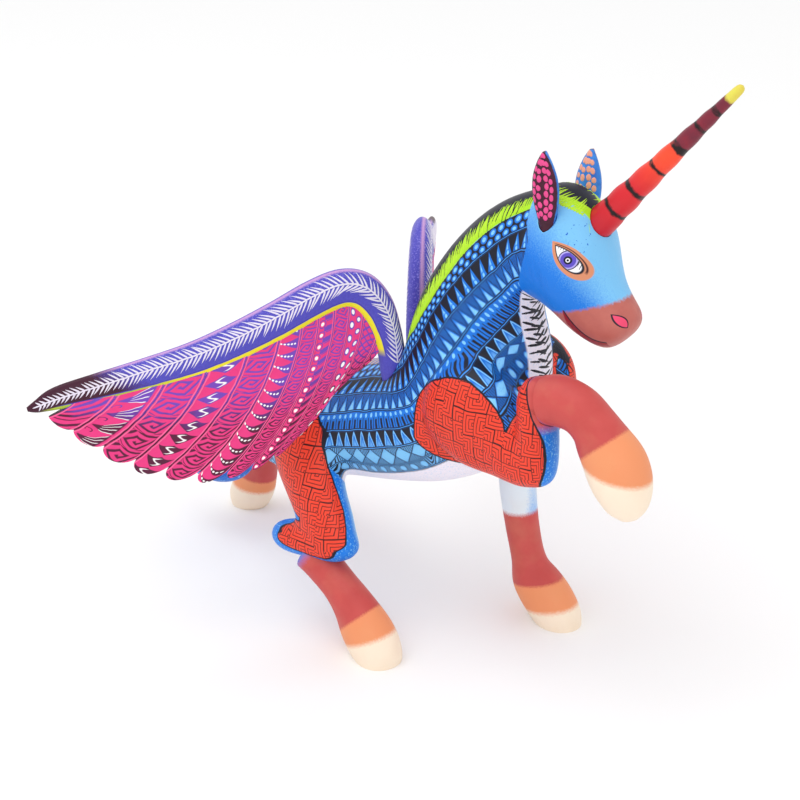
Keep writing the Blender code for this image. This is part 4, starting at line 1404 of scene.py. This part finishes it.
def makeArm(sideName, side):
    count = 56
    rings = armRings(side, 8, count)
    arm = objectFrom(sideName + "_wing_arm", *shell(rings))
    rows = eased(wing["arm"], 8)
    turns = np.cos(2 * np.pi * np.arange(count) / count)
    note(arm, "rim", np.concatenate([np.tile(turns, len(rings)), [0, 0]]))
    outer = np.sin(2 * np.pi * np.arange(count) / count)
    note(arm, "outer", np.concatenate([np.tile(outer, len(rings)), [0, 0]]))
    note(arm, "reach", np.concatenate([np.repeat(rows[:, 0], count), [rows[0, 0], rows[-1, 0]]]))
    addPiece(arm, sideName + "_wing", wingArmPaint)
    barePeg(sideName + "_wing_tenon", sideName + "_wing", tenonRings(side))
    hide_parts(sideName + "_wing")
    return arm


featherPaint, wingArmPaint = fanPaint(), armPaint()
arms, fans = {}, {}
for wingName, wingSide in sides.items():
    arms[wingName] = makeArm(wingName, wingSide)
    fans[wingName] = makeFan(wingName, wingSide)
say("wings")


def strokeTree():  # tapered strokes set along a path, laid onto a surface
    tree = bpy.data.node_groups.new("brush_strokes", "GeometryNodeTree")
    tree.is_modifier = True
    sockets = {}
    for name, kind, value in (
        ("Path", "Object", None), ("Surface", "Object", None), ("Material", "Material", None),
        ("Spacing", "Float", 0.002), ("Length", "Float", 0.005), ("Width", "Float", 0.0005),
        ("Height", "Float", 0.0001),
        ("Taper", "Float", 0.7), ("Unevenness", "Float", 0.15), ("Sway", "Float", 0.1), ("Seed", "Int", 1),
    ):
        sockets[name] = tree.interface.new_socket(name, in_out="INPUT", socket_type="NodeSocket" + kind)
        if value is not None:
            sockets[name].default_value = value
    tree.interface.new_socket("Strokes", in_out="OUTPUT", socket_type="NodeSocketGeometry")
    net = Net(tree)
    given = net.node("NodeGroupInput").socket.node
    value = {name: Flow(net, given.outputs[name]) for name in sockets}

    def randomAround(spread, salt):
        inputs = {2: 0 - spread, 3: spread, "Seed": value["Seed"] + salt}
        return net.node("FunctionNodeRandomValue", {"data_type": "FLOAT"}, inputs, 1)

    path = net.node("GeometryNodeObjectInfo", None, {"Object": value["Path"]}, "Geometry")
    points = net.node("GeometryNodeResampleCurve", {"mode": "LENGTH"},
        {"Curve": path, "Length": value["Spacing"]})
    surface = net.node("GeometryNodeObjectInfo", None, {"Object": value["Surface"]}, "Geometry")

    def onSurface(kind):
        field = net.node(kind)
        inputs = {"Mesh": surface, "Value": field}
        return net.node("GeometryNodeSampleNearestSurface", {"data_type": "FLOAT_VECTOR"}, inputs, "Value")

    normal = onSurface("GeometryNodeInputNormal")
    lean = net.node("GeometryNodeInputCurveTilt") + randomAround(value["Sway"], 1)
    turn = {"Vector": net.node("GeometryNodeInputTangent"), "Axis": normal, "Angle": lean}
    heading = net.node("ShaderNodeVectorRotate", {"rotation_type": "AXIS_ANGLE"}, turn)
    axes = {"primary_axis": "Z", "secondary_axis": "X"}
    rotation = net.node("FunctionNodeAxesToRotation", axes, {0: normal, 1: heading})
    longer = value["Length"] * net.node("GeometryNodeInputRadius") * (randomAround(value["Unevenness"],
        2) + 1)
    dab = net.node("GeometryNodeMeshIcoSphere", None, {"Radius": 1.0, "Subdivisions": 2}, "Mesh")
    x, y, z = net.split(net.node("GeometryNodeInputPosition"))
    kept = net.node(
        "GeometryNodeStoreNamedAttribute", {"data_type": "FLOAT", "domain": "POINT"},
        {"Geometry": dab, "Name": "lift", "Value": z},
    )
    ahead = (x + 1) * 0.5
    shape = net.joined(ahead, y * 0.5 * (1 - ahead * value["Taper"]), 0.0)
    flat = net.node("GeometryNodeSetPosition", None, {"Geometry": kept, "Position": shape})
    placed = net.node("GeometryNodeInstanceOnPoints", None, {
        "Points": points, "Instance": flat, "Rotation": rotation,
        "Scale": net.joined(longer, value["Width"], 1.0),
    })
    real = net.node("GeometryNodeRealizeInstances", None, {"Geometry": placed})
    lift = net.node("GeometryNodeInputNamedAttribute", {"data_type": "FLOAT"}, {"Name": "lift"})
    rise = {0: onSurface("GeometryNodeInputNormal"), "Scale": lift * value["Height"]}
    raised = net.node("ShaderNodeVectorMath", {"operation": "SCALE"}, rise)
    laid = net.node("ShaderNodeVectorMath", {"operation": "ADD"},
        {0: onSurface("GeometryNodeInputPosition"), 1: raised})
    done = net.node("GeometryNodeSetPosition", None, {"Geometry": real, "Position": laid})
    painted = net.node("GeometryNodeSetMaterial", None, {"Geometry": done, "Material": value["Material"]})
    net.node("NodeGroupOutput", None, {0: painted}, out=None)
    return tree, {name: socket.identifier for name, socket in sockets.items()}


strokeGroup, strokeSockets = strokeTree()


# lines: points, lean and size share
def laidStrokes(name, surface, lines, body, slotName, material, **sizes):
    curve = bpy.data.curves.new(name + "_path", "CURVE")
    curve.dimensions = "3D"
    for points, lean, share in lines:
        spline = curve.splines.new("POLY")
        spline.points.add(len(points) - 1)
        for spot, place, width in zip(spline.points, points, np.broadcast_to(share, len(points))):
            spot.co = (*((np.array(place) + datum) * mm), 1)
            spot.tilt = math.radians(lean)
            spot.radius = width
    path = bpy.data.objects.new(name + "_path", curve)
    made = bpy.data.objects.new(name, bpy.data.meshes.new(name))
    for thing in (path, made):
        bpy.context.scene.collection.objects.link(thing)
    laying = made.modifiers.new("strokes", "NODES")
    laying.node_group = strokeGroup
    for key, value in {"Path": path, "Surface": surface, "Material": material, **sizes}.items():
        laying[strokeSockets[key]] = value
    bpy.context.view_layer.update()
    bake(made)
    bpy.data.objects.remove(path)
    made.data.shade_smooth()
    return addPiece(made, body, material)


def strokePaint(name, colour, shade):
    paint = Paint(name, roughness=0.45)
    streaks = paint.noise(1.2, 3.0, 0.6)
    return paint.finish(paint.mix(streaks, colour, shade))


def manePath(side, start, finish, place):
    points = []
    for along in np.linspace(start, finish, 60):
        edge = np.interp(along, bands["along"], bands["edges"][0])
        points.append(onTorso(along, edge * place, side))
    return points


limePaint = strokePaint("lime_strokes", bodyColours["lime"], srgb(196, 232, 60))
blackPaint = strokePaint("black_strokes", bodyColours["ink"], srgb(30, 32, 40))
maneLines = {"lime": [], "black": []}
for sideName, side in sides.items():
    lean = -62 * side
    maneLines["lime"] += [(manePath(side, 136, 228, 0.96), lean, 1.0),
        (manePath(side, 137, 228, 0.84), lean, 0.9)]
    maneLines["black"] += [(manePath(side, 136, 228, 0.5), lean + 180, 1.0)]
    forelock = [(x, side * (9.6 - abs(x - 92) * 0.25), 226 - (x - 84) * 0.35) for x in np.linspace(80, 103,
        30)]
    maneLines["lime"] += [(forelock, lean * 1.2, 1.2), (forelock, lean * 0.7, 0.9)]
laidStrokes("mane_lime_strokes", carvedBody, maneLines["lime"], "figure", "body_paint", limePaint,
    Spacing=0.0011, Length=0.0062, Width=0.0011, Height=0.00016, Taper=0.8, Unevenness=0.25,
    Sway=0.16)
laidStrokes("mane_black_strokes", carvedBody, maneLines["black"], "figure", "body_paint", blackPaint,
    Spacing=0.0024, Length=0.0088, Width=0.001, Height=0.00024, Taper=0.8, Unevenness=0.3, Sway=0.2,
    Seed=4)
say("mane strokes")

throatLines = []
for sideName, side in sides.items():
    for inset, lean, share in ((9.2, 106, 1.0), (4.6, 112, 0.7)):
        points = [onTorso(along, -inset, side) for along in np.linspace(148, 214, 34)]
        throatLines.append((points, lean * side, share))
laidStrokes("throat_strokes", carvedBody, throatLines, "figure", "body_paint", blackPaint,
    Spacing=0.0036, Length=0.0115, Width=0.0017, Height=0.0001, Taper=0.6, Unevenness=0.35,
    Sway=0.22, Seed=11)
say("throat strokes")

quillPaint = strokePaint("quill_strokes", srgb(240, 236, 244), srgb(216, 206, 230))


def quillLines(side):
    rows = eased(wing["arm"], 8)
    ways = np.gradient(rows[:, :2], axis=0)
    ways /= np.linalg.norm(ways, axis=1)[:, None]
    towardsRim = np.interp(rows[:, 0], (1, 4, 24, 110, 150), (1.0, 3.0, 3.6, 3.0, 0.6))
    rows[:, 0] -= ways[:, 1] * towardsRim
    rows[:, 1] += ways[:, 0] * towardsRim
    chosen = (np.arange(len(rows)) > 12) & (rows[:, 0] < 158)
    rows, towardsRim = rows[chosen], towardsRim[chosen]
    _, _, facing, _ = wingFrame(side)
    middle = onWing(side, rows[:, 0], rows[:, 1])
    size = np.interp(rows[:, 0], (0, 24, 110, 158), (0.8, 1.0, 0.8, 0.4))
    found = []
    for front, share in ((1, 1.0), (-1, 0.7)):
        line = middle + facing * rows[:, 3:4] * front
        if front < 0:  # the hidden face carries its quill lower
            line = line - np.stack([-ways[chosen, 1], ways[chosen, 0]],
                1) @ np.array([wingFrame(side)[1], (0, 0, 1)]) * 3
        flip = side * front
        found += [(line, lean * flip, size * share) for lean in (44, -44)]
    return found, [(found[0][0], 0, 1.0), (found[2][0], 0, 1.0)]


for sideName, side in sides.items():
    barbs, quill = quillLines(side)
    laidStrokes(sideName + "_wing_barbs", arms[sideName], barbs, sideName + "_wing", "wing_paint", quillPaint,
        Spacing=0.0022, Length=0.0088, Width=0.0013, Height=0.00014, Taper=0.85, Unevenness=0.16,
        Sway=0.1)
    laidStrokes(sideName + "_wing_quill", arms[sideName], quill, sideName + "_wing", "wing_paint", quillPaint,
        Spacing=0.0022, Length=0.0042, Width=0.0009, Height=0.00013, Taper=0.4, Unevenness=0.1,
        Sway=0.05)
say("wing barbs")


def earDotLines(side, outer):
    foot, pull, rows = earRows(side)
    lines = []
    for number, offset in enumerate((-4.6, -1.6, 1.6, 4.6)):
        points = []
        for share in np.linspace(0.04 + 0.05 * (number % 2), 0.93, 24):
            size = np.interp(share, *zip(*plugs["earOutline"]))
            spot = foot + pull * plugs["earLength"] * share
            points.append(spot + np.array((offset * size, side * outer * plugs["earThickness"], 0)))
        lines.append((points, 0, 1.0))
    return lines


for sideName, side in sides.items():
    for where, outer, tone, other in (
        ("outer", 1, earColours["pinkDot"], srgb(214, 60, 128)),
        ("inner", -1, earColours["peachDot"], srgb(232, 150, 130)),
    ):
        dotPaint = strokePaint(sideName + "_ear_" + where + "_dots_paint", tone, other)
        laidStrokes(sideName + "_ear_" + where + "_dots", ears[sideName], earDotLines(side, outer),
            sideName + "_ear",
            "ear_paint", dotPaint, Spacing=0.0034, Length=0.003, Width=0.0026, Height=0.0002,
            Taper=0.1, Unevenness=0.14, Sway=0.3, Seed=7)
say("ear dots")


stage = {
    "azimuth": 38, "elevation": 24, "distance": 1.0, "target": (0, 0, 108), "lens": 97.83, "sensor": 36,
    "floorReach": 4.0, "paper": (0.93, 0.93, 0.93, 1), "paperRoughness": 0.9,
    "sky": (1, 1, 1, 1), "skyStrength": 0.98,
    "lampAim": (0, 0, 0.12),
    # name, place in metres, watts and width in metres
    "lamps": (("overhead", (-0.3, -0.5, 1.3), 5, 1.0), ("front", (1.1, -1.1, 0.7), 2.5, 0.8)),
}


def setStage():
    turn, tilt = math.radians(stage["azimuth"]), math.radians(stage["elevation"])
    back = Vector((math.sin(turn) * math.cos(tilt), -math.cos(turn) * math.cos(tilt), math.sin(tilt)))
    target = Vector((np.array(stage["target"]) + datum) * mm)
    lens = bpy.data.cameras.new("camera")
    lens.lens, lens.sensor_width = stage["lens"], stage["sensor"]
    camera = bpy.data.objects.new("camera", lens)
    camera.location = target + back * stage["distance"]
    camera.rotation_euler = back.to_track_quat("Z", "Y").to_euler()
    bpy.context.scene.collection.objects.link(camera)
    bpy.context.scene.camera = camera
    bpy.context.scene.view_settings.view_transform = "Standard"
    floorMesh = bpy.data.meshes.new("floor")
    reach = stage["floorReach"]
    floorMesh.from_pydata([(-reach, -reach, 0), (reach, -reach, 0), (reach, reach, 0), (-reach, reach, 0)],
        [], [(0, 1, 2, 3)])
    floor = bpy.data.objects.new("floor", floorMesh)
    bpy.context.scene.collection.objects.link(floor)
    paper = bpy.data.materials.new("paper")
    paper.use_nodes = True
    paper.node_tree.nodes["Principled BSDF"].inputs["Base Color"].default_value = stage["paper"]
    paper.node_tree.nodes["Principled BSDF"].inputs["Roughness"].default_value = stage["paperRoughness"]
    floorMesh.materials.append(paper)
    world = bpy.data.worlds.new("studio")
    world.use_nodes = True
    world.node_tree.nodes["Background"].inputs["Color"].default_value = stage["sky"]
    world.node_tree.nodes["Background"].inputs["Strength"].default_value = stage["skyStrength"]
    bpy.context.scene.world = world
    for name, place, power, size in stage["lamps"]:
        lamp = bpy.data.lights.new(name, "AREA")
        lamp.energy, lamp.size = power, size
        light = bpy.data.objects.new(name, lamp)
        light.location = place
        light.rotation_euler = (Vector(place) - Vector(stage["lampAim"])).to_track_quat("Z", "Y").to_euler()
        bpy.context.scene.collection.objects.link(light)


setStage()
say("stage set")
